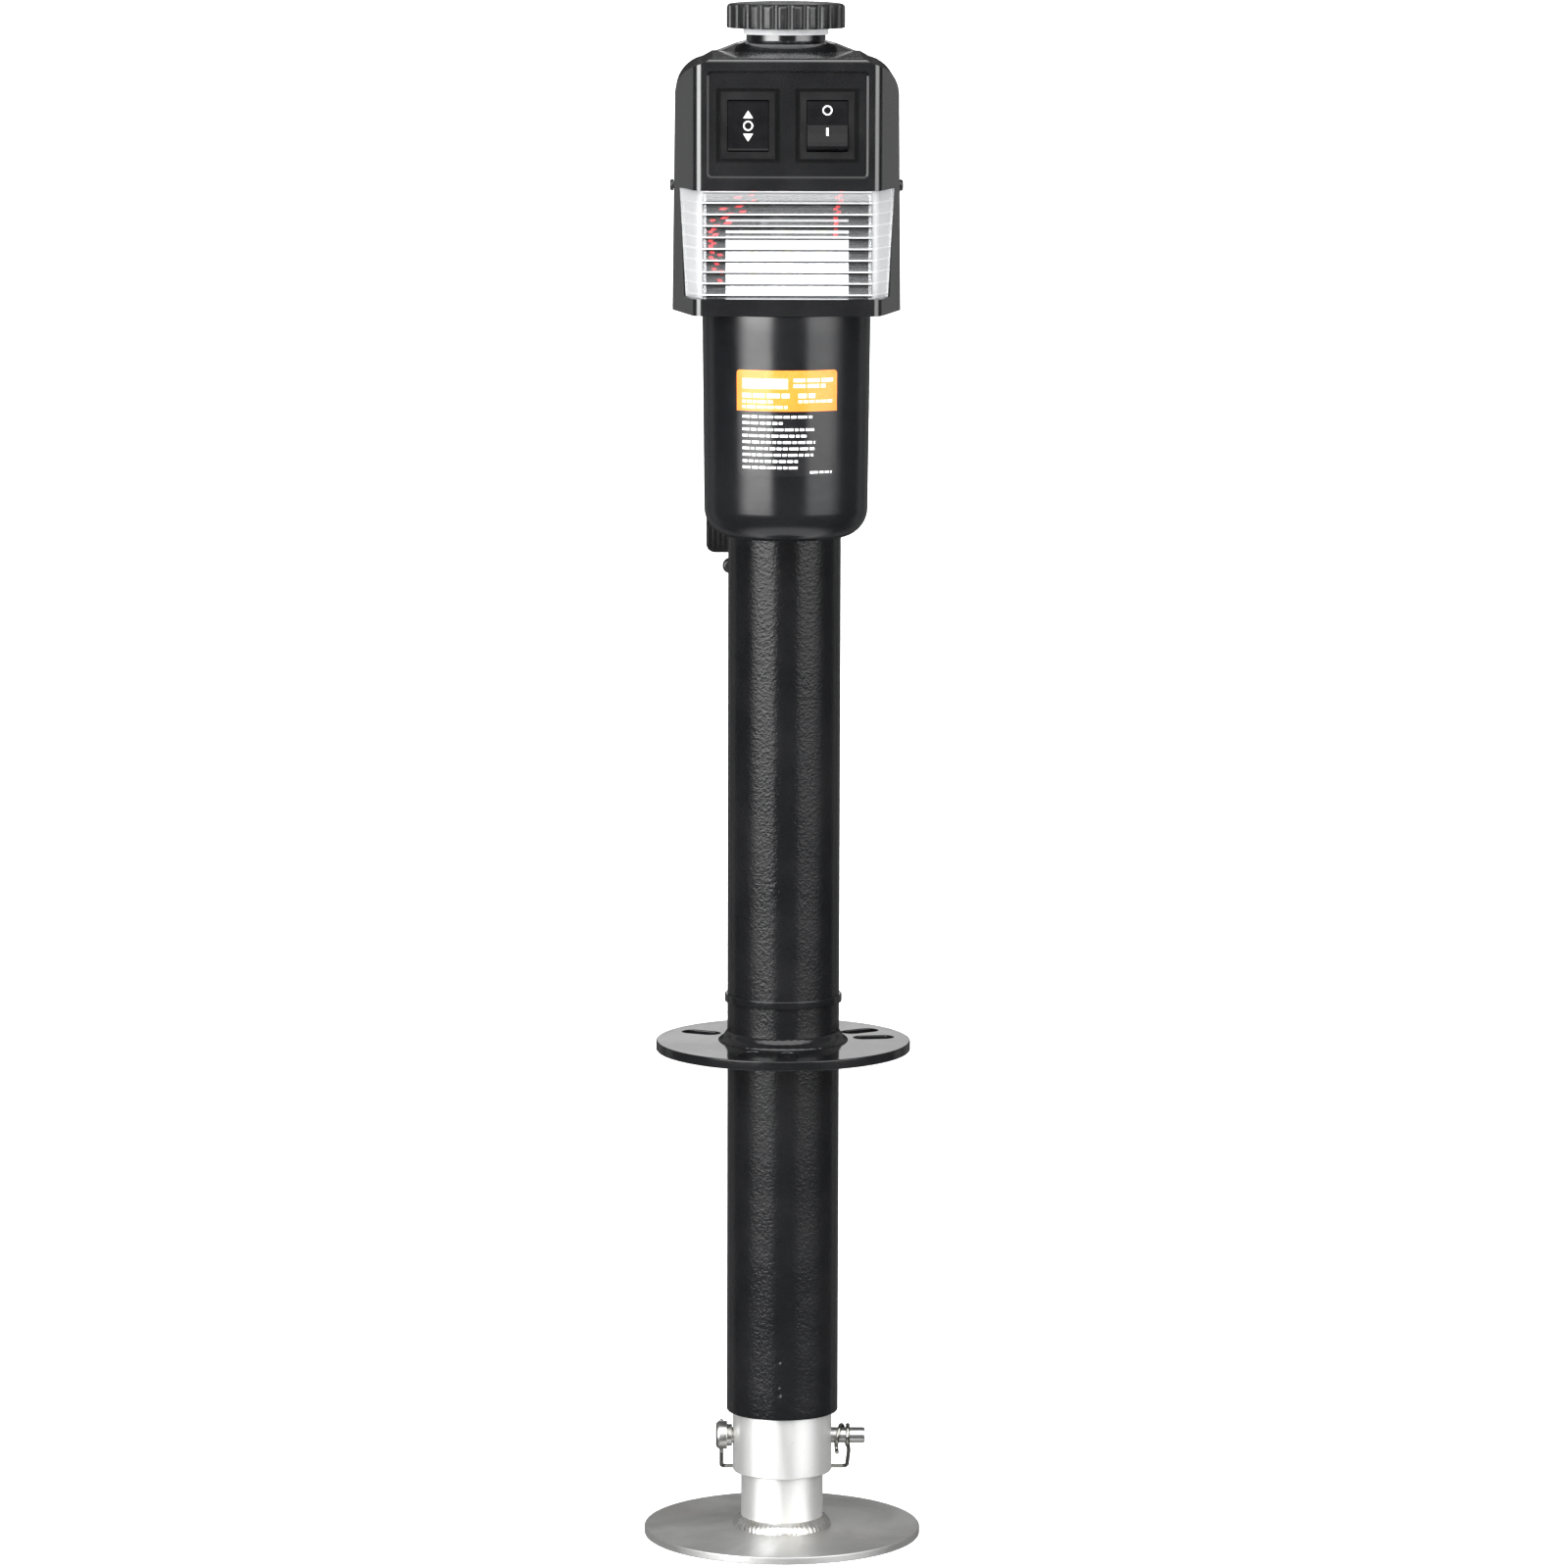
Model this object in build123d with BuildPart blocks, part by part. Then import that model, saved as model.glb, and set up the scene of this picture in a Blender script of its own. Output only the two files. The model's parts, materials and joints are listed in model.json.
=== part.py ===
from build123d import *
import math
import os

# Electric trailer tongue jack with a drop leg.  Millimetres, +Z up.
# Origin: centre of the underside of the foot plate, on the axis of the tubes.
# The motor, the lamp and the switches face -Y.  Left is -X, the back is +Y.

# ---------------------------------------------------------------- tubes
OUTER_R = 28.575            # 2 1/4 in jack tube
OUTER_RI = 25.575
OUTER_Z0, OUTER_Z1 = 64.8, 632.0
RAM_R = 25.4                # 2 in inner tube
RAM_RI = 21.6
RAM_Z0, RAM_Z1 = 33.0, 598.0
LEG_R = 21.1                # 42.2 mm drop leg
LEG_RI = 18.0
LEG_Z1 = 232.0
HOLE_PITCH = 25.4           # pin holes up the drop leg
HOLE_COUNT = 7
FOOT_R, FOOT_T = 71.0, 4.0

# ---------------------------------------------------------------- lock pin
PIN_Z = 51.0
PIN_R = 4.0
PIN_YZ = (0, PIN_Z)

# ---------------------------------------------------------------- head
FRONT_Y = -117.0
FRONT_W = 45.4              # half width at the front corners
SIDE_W = 56.4               # half width at the skirt
SIDE_Y = -70.0              # where the splayed cheeks reach full width
SKIRT_Z = 636.6
SIDE_SCREW_YZ = (-57, 697.5)
SIDE_SCREW_R = 2.0

# ---------------------------------------------------------------- gear case
CASE_Z0 = 636.5             # underside of the base, on which the motor hangs
WELL_Z0, WELL_Z1 = 645.0, 684.0
LID_Z1 = 690.0
COLLAR_R = 32.0
COLLAR_BOLT_ANGLES = (50, 130)
COLLAR_BOLT_Z, COLLAR_BOLT_R = 624, 3.0
LID_SCREWS = ((0, 42.0), (-40.8, -10.0), (42.2, -12.0), (-10.5, -73.0))
LID_SCREW_R = 1.2
CABLE_TOP, CABLE_LOW, CABLE_R = (-37.0, 30.0), (-31.0, 26.0), 3.2

# ---------------------------------------------------------------- motor and gears
MOTOR_Y = -74.0
MOTOR_XY = (0, MOTOR_Y)
MOTOR_SCREWS = ((-31, MOTOR_Y), (31, MOTOR_Y))
MOTOR_SCREW_R = 2.0
SHAFT_R = 3.5
MODULE_1, MODULE_2 = 0.9, 1.5
PINION_1, WHEEL_1 = 12, 60  # teeth, first stage
PINION_2, WHEEL_2 = 12, 48  # teeth, second stage
BACKLASH_1, BACKLASH_2 = 0.12, 0.16
PRESSURE = math.radians(25)
# The idler stands where both centre distances are met, on the right
CENTRES_1 = MODULE_1 * (PINION_1 + WHEEL_1) / 2
CENTRES_2 = MODULE_2 * (PINION_2 + WHEEL_2) / 2
IDLER_Y = (CENTRES_1 ** 2 - CENTRES_2 ** 2 - MOTOR_Y ** 2) / (-2 * MOTOR_Y)
IDLER_X = math.sqrt(CENTRES_2 ** 2 - IDLER_Y ** 2)
IDLER_XY = (IDLER_X, IDLER_Y)
IDLER_R = 4.0
IDLER_BUSH_R = 7.0
JOURNAL_R = 8.0             # upper shaft of the lead screw

# ---------------------------------------------------------------- crank neck
SPOUT_R = 17.0
SPOUT_Z = 770.0

ACROSS = 140.0              # length of cuts that run right across in X
CUT = Mode.SUBTRACT

os.makedirs("parts", exist_ok=True)


# =====================================================================
# Helpers
# =====================================================================

def save(builder, name):
    builder.part.label = name
    export_step(builder.part, "parts/" + name + ".step")


def level(z):
    """Horizontal plane at z, facing up."""
    return Plane.XY.offset(z)


def facing(y):
    """Upright plane at y, facing the front (-Y); sketched in X and Z."""
    return Plane.XZ.offset(-y)


def side(x):
    """Upright plane at x, facing +X; sketched in Y and Z."""
    return Plane.YZ.offset(x)


def collar_bolt_plane(angle, radius=0):
    """Plane facing outward along a collar bolt, at radius from the tube axis."""
    x = math.cos(math.radians(angle))
    y = math.sin(math.radians(angle))
    return Plane(origin=(radius * x, radius * y, COLLAR_BOLT_Z), z_dir=(x, y, 0))


def circles(radius, *centres, mode=Mode.ADD):
    """Equal circles in the sketch that is open."""
    with Locations(*centres):
        Circle(radius, mode=mode)


def ring(outer, inner, centre=(0, 0)):
    """Ring in the sketch that is open."""
    with Locations(centre):
        Circle(outer)
        Circle(inner, mode=CUT)


def save_ring(name, outer, inner, z, height, centre=(0, 0)):
    """Save a piece that is one plain upright ring."""
    with BuildPart() as piece:
        with BuildSketch(level(z)):
            ring(outer, inner, centre)
        extrude(amount=height)
    save(piece, name)


def save_rod(name, radius, z, height, centre):
    """Save a piece that is one plain upright rod."""
    with BuildPart() as piece:
        with BuildSketch(level(z)):
            circles(radius, centre)
        extrude(amount=height)
    save(piece, name)


def save_weld(name, radius, z, profile):
    """Save a weld bead round a tube; profile is (out from the tube, up from z)."""
    with BuildPart() as piece:
        with BuildSketch(Plane.XZ):
            with BuildLine():
                Polyline(*[(radius + out, z + up) for out, up in profile], close=True)
            make_face()
        revolve(axis=Axis.Z)
    save(piece, name)


def rims(builder, radius):
    """Circular edges of the given radius."""
    round_edges = builder.edges().filter_by(GeomType.CIRCLE)
    return round_edges.filter_by(lambda edge: abs(edge.radius - radius) < 0.01)


def bottom_rim(builder):
    """Outer circular edge at the foot of a tube."""
    round_edges = builder.edges().filter_by(GeomType.CIRCLE)
    return round_edges.group_by(Axis.Z)[0].sort_by(SortBy.RADIUS)[-1]


def head_plan(side_half, front_half, front_y):
    """Plan of the head in the open line: splayed cheeks in front, half round behind."""
    Polyline((-side_half, 0), (-side_half, SIDE_Y), (-front_half, front_y),
             (front_half, front_y), (side_half, SIDE_Y), (side_half, 0))
    ThreePointArc((side_half, 0), (0, side_half), (-side_half, 0))


def well_plan(inset):
    """Plan of the gear well in the open sketch, wrapped round screw, idler and pinion."""
    Circle(43.5 - inset)
    circles(33.0 - inset, IDLER_XY)
    circles(12.0 - inset, (0, -73))
    make_hull()


def gear_outline(module, teeth, centre, phase, backlash):
    """Closed outline of a stub involute spur gear; a tooth points along phase."""
    pitch_r = module * teeth / 2
    base_r = pitch_r * math.cos(PRESSURE)
    tip_r = pitch_r + 0.8 * module
    root_r = pitch_r - 1.1 * module
    involute = math.tan(PRESSURE) - PRESSURE
    half = (math.pi * module / 2 - backlash) / (2 * pitch_r)
    start_r = max(base_r, root_r)
    # The flank as (radius, half angle of the tooth there)
    flank = []
    for k in range(5):
        radius = start_r + (tip_r - start_r) * k / 4
        roll = math.acos(min(1.0, base_r / radius))
        flank.append((radius, half + involute - (math.tan(roll) - roll)))
    if root_r < base_r:
        flank.insert(0, (root_r, flank[0][1]))
    tooth = [(radius, -angle) for radius, angle in flank]
    tooth += reversed(flank)
    points = []
    for k in range(teeth):
        middle = phase + 2 * math.pi * k / teeth
        for radius, angle in tooth:
            points.append((centre[0] + radius * math.cos(middle + angle),
                           centre[1] + radius * math.sin(middle + angle)))
    return points


# =====================================================================
# Tubes, flange and foot
# =====================================================================

KEY_XZ = (0, 80)            # anti-rotation key at the back of the jack tube
KEY_SIZE = (5.0, 16.0)
KEY_Y0, KEY_Y1 = 24.5, 27.0
DIMPLES = ((95.6, 1.6), (82.5, 1.2), (78.5, 2.0))   # z, radius

# Jack tube, with pressed dimples low on the front, bolt holes at its top and a key slot
with BuildPart() as outer_tube:
    with BuildSketch(level(OUTER_Z0)):
        ring(OUTER_R, OUTER_RI)
    extrude(amount=OUTER_Z1 - OUTER_Z0)
    chamfer(bottom_rim(outer_tube), 0.6)
    for z, radius in DIMPLES:
        with BuildSketch(Plane(origin=(-2.2, -OUTER_R - 0.2, z), x_dir=(1, 0, 0),
                               z_dir=(0, -1, 0))):
            Circle(radius)
        extrude(amount=-0.8, taper=25, mode=CUT)
    for angle in COLLAR_BOLT_ANGLES:
        with BuildSketch(collar_bolt_plane(angle)):
            Circle(COLLAR_BOLT_R)
        extrude(amount=40, mode=CUT)
    with BuildSketch(facing(25.0)):
        with Locations(KEY_XZ):
            Rectangle(*KEY_SIZE)
    extrude(amount=-2.0, mode=CUT)
save(outer_tube, "outer_tube")

# Key let into the back of the jack tube; it runs in a groove in the inner tube
with BuildPart() as anti_rotation_key:
    with BuildSketch(facing(KEY_Y0)):
        with Locations(KEY_XZ):
            Rectangle(*KEY_SIZE)
    extrude(amount=KEY_Y0 - KEY_Y1)
save(anti_rotation_key, "anti_rotation_key")

FLANGE_R, FLANGE_T, FLANGE_Z = 65.0, 5.0, 253.0
SLOT_W, SLOT_L, SLOT_PR = 10.6, 20.4, 46.9          # SLOT_PR: radius to slot centres
SLOT_ANGLES = (32.5, 153.5, 272.5, 8.5, 248.0)

# A-frame flange with five radial slots
with BuildPart() as mounting_flange:
    with BuildSketch(level(FLANGE_Z)):
        ring(FLANGE_R, OUTER_R)
        for angle in SLOT_ANGLES:
            x = SLOT_PR * math.cos(math.radians(angle))
            y = SLOT_PR * math.sin(math.radians(angle))
            with Locations(Location((x, y, 0), (0, 0, angle))):
                SlotOverall(SLOT_L, SLOT_W, mode=CUT)
    extrude(amount=FLANGE_T)
    fillet(rims(mounting_flange, FLANGE_R), 0.6)
save(mounting_flange, "mounting_flange")

# Fillet weld between the flange's top and the tube
save_weld("flange_weld", OUTER_R, FLANGE_Z + FLANGE_T,
          ((0, 0), (4.6, 0), (1.9, 2.0), (0, 5.0)))

RING_Z, RING_H, RING_R = 278.2, 4.2, 29.9

# Locating ring shrunk on the tube above the flange
with BuildPart() as locator_ring:
    with BuildSketch(level(RING_Z)):
        ring(RING_R, OUTER_R)
    extrude(amount=RING_H)
    fillet(rims(locator_ring, RING_R), 0.6)
save(locator_ring, "locator_ring")

NUT_Z0 = 568
NUT_LIP = 4
NUT_PIN_YZ = (0, 584)
NUT_PIN_R, NUT_PIN_L = 3.0, 14.0
NUT_PIN_END = 25.2          # outer ends of the pins, from the axis
GROOVE_Z0, GROOVE_Z1 = 70.0, 570.0

# Inner tube (ram), with the key groove and cross holes for the lock pin and nut pins
with BuildPart() as inner_tube:
    with BuildSketch(level(RAM_Z0)):
        ring(RAM_R, RAM_RI)
    extrude(amount=RAM_Z1 - RAM_Z0)
    chamfer(bottom_rim(inner_tube), 0.8)
    with BuildSketch(side(-ACROSS / 2)):
        circles(PIN_R + 0.05, PIN_YZ)
    extrude(amount=ACROSS, mode=CUT)
    with BuildSketch(facing(24.2)):
        with Locations((0, (GROOVE_Z0 + GROOVE_Z1) / 2)):
            Rectangle(5.4, GROOVE_Z1 - GROOVE_Z0)
    extrude(amount=-3, mode=CUT)
    with BuildSketch(side(-ACROSS / 2)):
        circles(NUT_PIN_R, NUT_PIN_YZ)
    extrude(amount=ACROSS, mode=CUT)
save(inner_tube, "inner_tube")

# Nut that the screw drives, seated in the top of the inner tube
with BuildPart() as lead_nut:
    with BuildSketch(level(NUT_Z0)):
        Circle(RAM_RI)
    extrude(amount=RAM_Z1 - NUT_Z0)
    with BuildSketch(level(RAM_Z1)):
        Circle(RAM_R - 0.2)
    extrude(amount=NUT_LIP)
    with BuildSketch(level(NUT_Z0 - 8)):
        Circle(10.06)
    extrude(amount=60, mode=CUT)
    with BuildSketch(side(-ACROSS / 2)):
        circles(NUT_PIN_R, NUT_PIN_YZ)
    extrude(amount=ACROSS, mode=CUT)
save(lead_nut, "lead_nut")

# Two pins that hold the nut in the tube
with BuildPart() as nut_pins:
    for x in (-NUT_PIN_END, NUT_PIN_END - NUT_PIN_L):
        with BuildSketch(side(x)):
            circles(NUT_PIN_R, NUT_PIN_YZ)
        extrude(amount=NUT_PIN_L)
save(nut_pins, "nut_pins")

# Drop leg with its column of pin holes
with BuildPart() as drop_leg:
    with BuildSketch(level(FOOT_T)):
        ring(LEG_R, LEG_RI)
    extrude(amount=LEG_Z1 - FOOT_T)
    with BuildSketch(side(-ACROSS / 2)):
        circles(PIN_R + 0.4, *[(0, PIN_Z + k * HOLE_PITCH) for k in range(HOLE_COUNT)])
    extrude(amount=ACROSS, mode=CUT)
save(drop_leg, "drop_leg")

# Round foot plate
with BuildPart() as foot_plate:
    with BuildSketch(Plane.XY):
        Circle(FOOT_R)
    extrude(amount=FOOT_T)
    fillet(foot_plate.edges().group_by(Axis.Z)[-1], 0.6)
    fillet(foot_plate.edges().group_by(Axis.Z)[0], 0.4)
save(foot_plate, "foot_plate")

# Weld bead round the bottom of the drop leg
save_weld("foot_weld", LEG_R, FOOT_T,
          ((0, 0), (4.0, 0), (3.6, 2.0), (2.2, 3.8), (0, 5.2)))

PIN_X0, PIN_X1 = -29.0, 42.6
HEAD_X, HEAD_L, HEAD_R = -28.4, 5.8, 7.2            # HEAD_X: inner face of the pin's head
WIRE_R = 1.0
WIRE_X, WIRE_Y = -31.3, 4.6                         # where the wire enters the head
BAIL_Y, BAIL_Z = 27.2, PIN_Z - 22.8
COIL_X, COIL_R = 32.6, 5.3

# Lock pin with its round head and collar; lies along X
with BuildPart() as lock_pin:
    with BuildSketch(side(PIN_X0)):
        circles(PIN_R, PIN_YZ)
    extrude(amount=PIN_X1 - PIN_X0)
    chamfer(lock_pin.edges().filter_by(GeomType.CIRCLE).sort_by(Axis.X)[-1], 0.6)
    with BuildSketch(side(HEAD_X)):
        circles(5.6, PIN_YZ)
    extrude(amount=2.6)
    with BuildSketch(side(HEAD_X - HEAD_L)):
        circles(HEAD_R, PIN_YZ)
    extrude(amount=HEAD_L)
    fillet(lock_pin.edges().filter_by(GeomType.CIRCLE).sort_by(Axis.X)[0], 2.2)
    with BuildSketch(level(PIN_Z - 8)):
        circles(WIRE_R + 0.05, (WIRE_X, WIRE_Y))
    extrude(amount=16, mode=CUT)
save(lock_pin, "lock_pin")

# Spring bail: from the pin's head, behind the tube, to a coil over the pin's free end
with BuildPart() as bail_wire:
    with BuildLine():
        bail_path = FilletPolyline(
            (WIRE_X, WIRE_Y, PIN_Z + 6.0),
            (WIRE_X, WIRE_Y, PIN_Z - 10.0),
            (WIRE_X, BAIL_Y, BAIL_Z),
            (33.6, BAIL_Y, BAIL_Z),
            (COIL_X, 8.0, PIN_Z - 7.2),
            (COIL_X, 1.0, PIN_Z - COIL_R),
            radius=2.6)
    with BuildSketch(Plane(origin=bail_path @ 0, z_dir=bail_path % 0)):
        Circle(WIRE_R)
    sweep()
    with BuildSketch(level(PIN_Z)):
        circles(WIRE_R, (COIL_X, COIL_R))
    revolve(axis=Axis((0, 0, PIN_Z), (1, 0, 0)))
save(bail_wire, "bail_wire")

# =====================================================================
# Gear case
# =====================================================================

CASE_GAP = 2.9              # from the head's outside to the case base, at the sides
COLLAR_Z0 = 616
SPIGOT_Z0 = 628
WELL_WALL = 3.0
# Round holes cut upward in the case: radius, z, depth, centres
CASE_BORES = (
    (OUTER_R, 600, OUTER_Z1 - 600, [(0, 0)]),               # socket for the jack tube
    (10.6, 630, 20, [(0, 0)]),                              # clearance for the screw
    (IDLER_BUSH_R, 640, 10, [IDLER_XY]),
    (8.0, 630, 20, [MOTOR_XY]),                             # upper motor bush
    (MOTOR_SCREW_R, 630, 13, MOTOR_SCREWS),
    (CABLE_R + 0.1, 635, 12, [CABLE_TOP]),
    (LID_SCREW_R, 672, 14, LID_SCREWS),
)

# Cast gear case: base plate, collar round the tube, spigot for the motor cover, gear well
with BuildPart() as gear_case:
    with BuildSketch(level(CASE_Z0)):
        with BuildLine():
            head_plan(SIDE_W - CASE_GAP, FRONT_W - CASE_GAP, FRONT_Y + 3.2)
        make_face()
        fillet(vertices().sort_by(Axis.Y)[0:2], 3.0)
    extrude(amount=WELL_Z0 - CASE_Z0)
    with BuildSketch(level(COLLAR_Z0)):
        Circle(COLLAR_R)
    extrude(amount=CASE_Z0 - COLLAR_Z0)
    with BuildSketch(level(SPIGOT_Z0)):
        ring(38.9, 36.1, MOTOR_XY)
    extrude(amount=CASE_Z0 - SPIGOT_Z0)
    with BuildSketch(level(WELL_Z0)):
        well_plan(0)
    extrude(amount=WELL_Z1 - WELL_Z0)
    with BuildSketch(level(WELL_Z0)):
        well_plan(WELL_WALL)
    extrude(amount=WELL_Z1 - WELL_Z0 + 1, mode=CUT)
    for radius, z, depth, centres in CASE_BORES:
        with BuildSketch(level(z)):
            circles(radius, *centres)
        extrude(amount=depth, mode=CUT)
    for angle in COLLAR_BOLT_ANGLES:
        with BuildSketch(collar_bolt_plane(angle)):
            Circle(COLLAR_BOLT_R)
        extrude(amount=40, mode=CUT)
save(gear_case, "gear_case")

BUSH_Z, BUSH_R = 683, 11.0  # bush for the top of the screw shaft
EAR_X, EAR_Y = 48.5, SIDE_SCREW_YZ[0]
EAR_T, EAR_L, EAR_H = 5.0, 14.0, 15
# Round holes in the lid: radius, z, depth, centres
LID_BORES = (
    (BUSH_R, 680, 20, [(0, 0)]),
    (IDLER_BUSH_R, 683, 6, [IDLER_XY]),
    (LID_SCREW_R, 680, 14, LID_SCREWS),
)

# Lid over the gears, with the two ears that take the cover's side screws
with BuildPart() as gear_case_lid:
    with BuildSketch(level(WELL_Z1)):
        well_plan(0)
    extrude(amount=LID_Z1 - WELL_Z1)
    with BuildSketch(level(WELL_Z1)):
        with Locations((0, EAR_Y)):
            Rectangle(2 * EAR_X + EAR_T, EAR_L)
    extrude(amount=LID_Z1 - WELL_Z1)
    with BuildSketch(level(LID_Z1)):
        with Locations((-EAR_X, EAR_Y), (EAR_X, EAR_Y)):
            Rectangle(EAR_T, EAR_L)
    extrude(amount=EAR_H)
    for radius, z, depth, centres in LID_BORES:
        with BuildSketch(level(z)):
            circles(radius, *centres)
        extrude(amount=depth, mode=CUT)
    with BuildSketch(side(-ACROSS / 2)):
        circles(SIDE_SCREW_R, SIDE_SCREW_YZ)
    extrude(amount=ACROSS, mode=CUT)
save(gear_case_lid, "gear_case_lid")

LID_SCREW_L = 17
LID_SCREW_HEAD_R, LID_SCREW_HEAD_H = 3.2, 2.4

# Lid screws: shanks, heads with hexagon sockets, and the solid floors of the sockets
with BuildPart() as lid_screws:
    with BuildSketch(level(LID_Z1 - LID_SCREW_L)):
        circles(LID_SCREW_R, *LID_SCREWS)
    extrude(amount=LID_SCREW_L)
    with BuildSketch(level(LID_Z1)):
        with Locations(*LID_SCREWS):
            Circle(LID_SCREW_HEAD_R)
            RegularPolygon(1.5, 6, mode=CUT)
    extrude(amount=LID_SCREW_HEAD_H)
    with BuildSketch(level(LID_Z1)):
        circles(LID_SCREW_HEAD_R, *LID_SCREWS)
    extrude(amount=1.0)
save(lid_screws, "lid_screws")

COLLAR_BOLT_TIP = 26.6      # radius from the tube axis to the bolt's inner end

# Two bolts through the collar into the top of the tube, at the back
with BuildPart() as collar_bolts:
    for angle in COLLAR_BOLT_ANGLES:
        with BuildSketch(collar_bolt_plane(angle, COLLAR_BOLT_TIP)):
            Circle(COLLAR_BOLT_R)
        extrude(amount=COLLAR_R - COLLAR_BOLT_TIP)
        with BuildSketch(collar_bolt_plane(angle, COLLAR_R)):
            RegularPolygon(5.0, 6)
        extrude(amount=4.0)
        # overlap that ties the shank to the head
        with BuildSketch(collar_bolt_plane(angle, COLLAR_R - 0.3)):
            Circle(COLLAR_BOLT_R)
        extrude(amount=1.0)
save(collar_bolts, "collar_bolts")

# Thrust bearing between the screw's collar and the case
THRUST_Z0 = 622
RACE_R, RACE_T = 15.5, 2.5
BALL_R, BALL_PR, BALL_COUNT = 2.4, 11.8, 12         # BALL_PR: radius of the circle of balls

save_ring("thrust_race_upper", RACE_R, 8.1, OUTER_Z1 - RACE_T, RACE_T)

with BuildPart() as thrust_balls:
    with Locations((0, 0, (THRUST_Z0 + OUTER_Z1) / 2)):
        with PolarLocations(BALL_PR, BALL_COUNT):
            Sphere(BALL_R)
save(thrust_balls, "thrust_balls")

save_ring("thrust_race_lower", RACE_R, JOURNAL_R, THRUST_Z0, RACE_T)

# Bush in the lid for the top of the screw shaft
save_ring("screw_bush", BUSH_R, JOURNAL_R + 0.05, BUSH_Z, 8)

# Bushes for the idler shaft, in the case and in the lid
with BuildPart() as idler_bushes:
    for z, height in ((640, 9.5), (678, 11)):
        with BuildSketch(level(z)):
            ring(IDLER_BUSH_R, IDLER_R + 0.05, IDLER_XY)
        extrude(amount=height)
save(idler_bushes, "idler_bushes")

# =====================================================================
# Screw and gears
# =====================================================================

SCREW_Z0 = 132
SCREW_COLLAR_Z = 618
SCREW_R = 10.0
# Upward from the thread: radius, z, height of the collar, the journal and the neck
SCREW_STEPS = ((14.0, SCREW_COLLAR_Z, 4), (JOURNAL_R, THRUST_Z0, 82), (6.5, 704, 50))
HEX_Z, HEX_R, HEX_H = 754, 7.0, 22
GEAR_Z, GEAR_T = 664, 10    # output gear
GEAR_KEY_W = 4.0


def gear_key_section(mode=Mode.ADD):
    """Square of the gear key in the open sketch, centred on the journal's surface."""
    with Locations((JOURNAL_R, 0)):
        Rectangle(GEAR_KEY_W, GEAR_KEY_W, mode=mode)


# Lead screw: plain cylinder at the thread's outside diameter, collar, journal, hex crank end
with BuildPart() as lead_screw:
    with BuildSketch(level(SCREW_Z0)):
        Circle(SCREW_R)
    extrude(amount=SCREW_COLLAR_Z - SCREW_Z0)
    chamfer(lead_screw.edges().group_by(Axis.Z)[0], 2.0)
    for radius, z, height in SCREW_STEPS:
        with BuildSketch(level(z)):
            Circle(radius)
        extrude(amount=height)
    with BuildSketch(level(HEX_Z)):
        RegularPolygon(HEX_R, 6)
    extrude(amount=HEX_H)
    with BuildSketch(level(GEAR_Z)):
        gear_key_section()
    extrude(amount=GEAR_T, mode=CUT)
save(lead_screw, "lead_screw")

TO_IDLER = math.atan2(IDLER_Y, IDLER_X)             # direction from the screw to the idler
TO_MOTOR = math.atan2(MOTOR_Y - IDLER_Y, -IDLER_X)  # direction from the idler to the motor
# Each pinion is turned so that a gap faces the tooth of its wheel
PHASE_1 = TO_MOTOR + math.pi + math.pi / PINION_1
PHASE_2 = TO_IDLER + math.pi + math.pi / PINION_2

# Wheel on the screw, with six round openings and a hub above
with BuildPart() as output_gear:
    with BuildSketch(level(GEAR_Z)):
        with BuildLine():
            Polyline(*gear_outline(MODULE_2, WHEEL_2, (0, 0), TO_IDLER, BACKLASH_2),
                     close=True)
        make_face()
        Circle(JOURNAL_R, mode=CUT)
        gear_key_section(CUT)
        with PolarLocations(22, 6):
            Circle(6.0, mode=CUT)
    extrude(amount=GEAR_T)
    with BuildSketch(level(GEAR_Z + GEAR_T)):
        ring(13.0, JOURNAL_R)
    extrude(amount=4)
save(output_gear, "output_gear")

with BuildPart() as gear_key:
    with BuildSketch(level(GEAR_Z)):
        gear_key_section()
    extrude(amount=GEAR_T)
save(gear_key, "gear_key")

save_rod("idler_shaft", IDLER_R, 641, 47, IDLER_XY)

CLUSTER_Z, CLUSTER_T = 650, 8

# First-stage wheel, driven by the motor pinion
with BuildPart() as cluster_gear:
    with BuildSketch(level(CLUSTER_Z)):
        with BuildLine():
            Polyline(*gear_outline(MODULE_1, WHEEL_1, IDLER_XY, TO_MOTOR, BACKLASH_1),
                     close=True)
        make_face()
        with Locations(IDLER_XY):
            Circle(IDLER_R, mode=CUT)
            with PolarLocations(17.5, 6):
                Circle(4.5, mode=CUT)
    extrude(amount=CLUSTER_T)
save(cluster_gear, "cluster_gear")


def save_pinion(name, module, teeth, centre, phase, backlash, bore_r, z, height):
    with BuildPart() as pinion:
        with BuildSketch(level(z)):
            with BuildLine():
                Polyline(*gear_outline(module, teeth, centre, phase, backlash), close=True)
            make_face()
            circles(bore_r, centre, mode=CUT)
        extrude(amount=height)
    save(pinion, name)


# Second-stage pinion on the same shaft, and the pinion on the motor
save_pinion("cluster_pinion", MODULE_2, PINION_2, IDLER_XY, PHASE_2, BACKLASH_2,
            bore_r=IDLER_R, z=CLUSTER_Z + CLUSTER_T, height=18)
save_pinion("motor_pinion", MODULE_1, PINION_1, MOTOR_XY, PHASE_1, BACKLASH_1,
            bore_r=SHAFT_R, z=649, height=11)

# =====================================================================
# Motor
# =====================================================================

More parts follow.
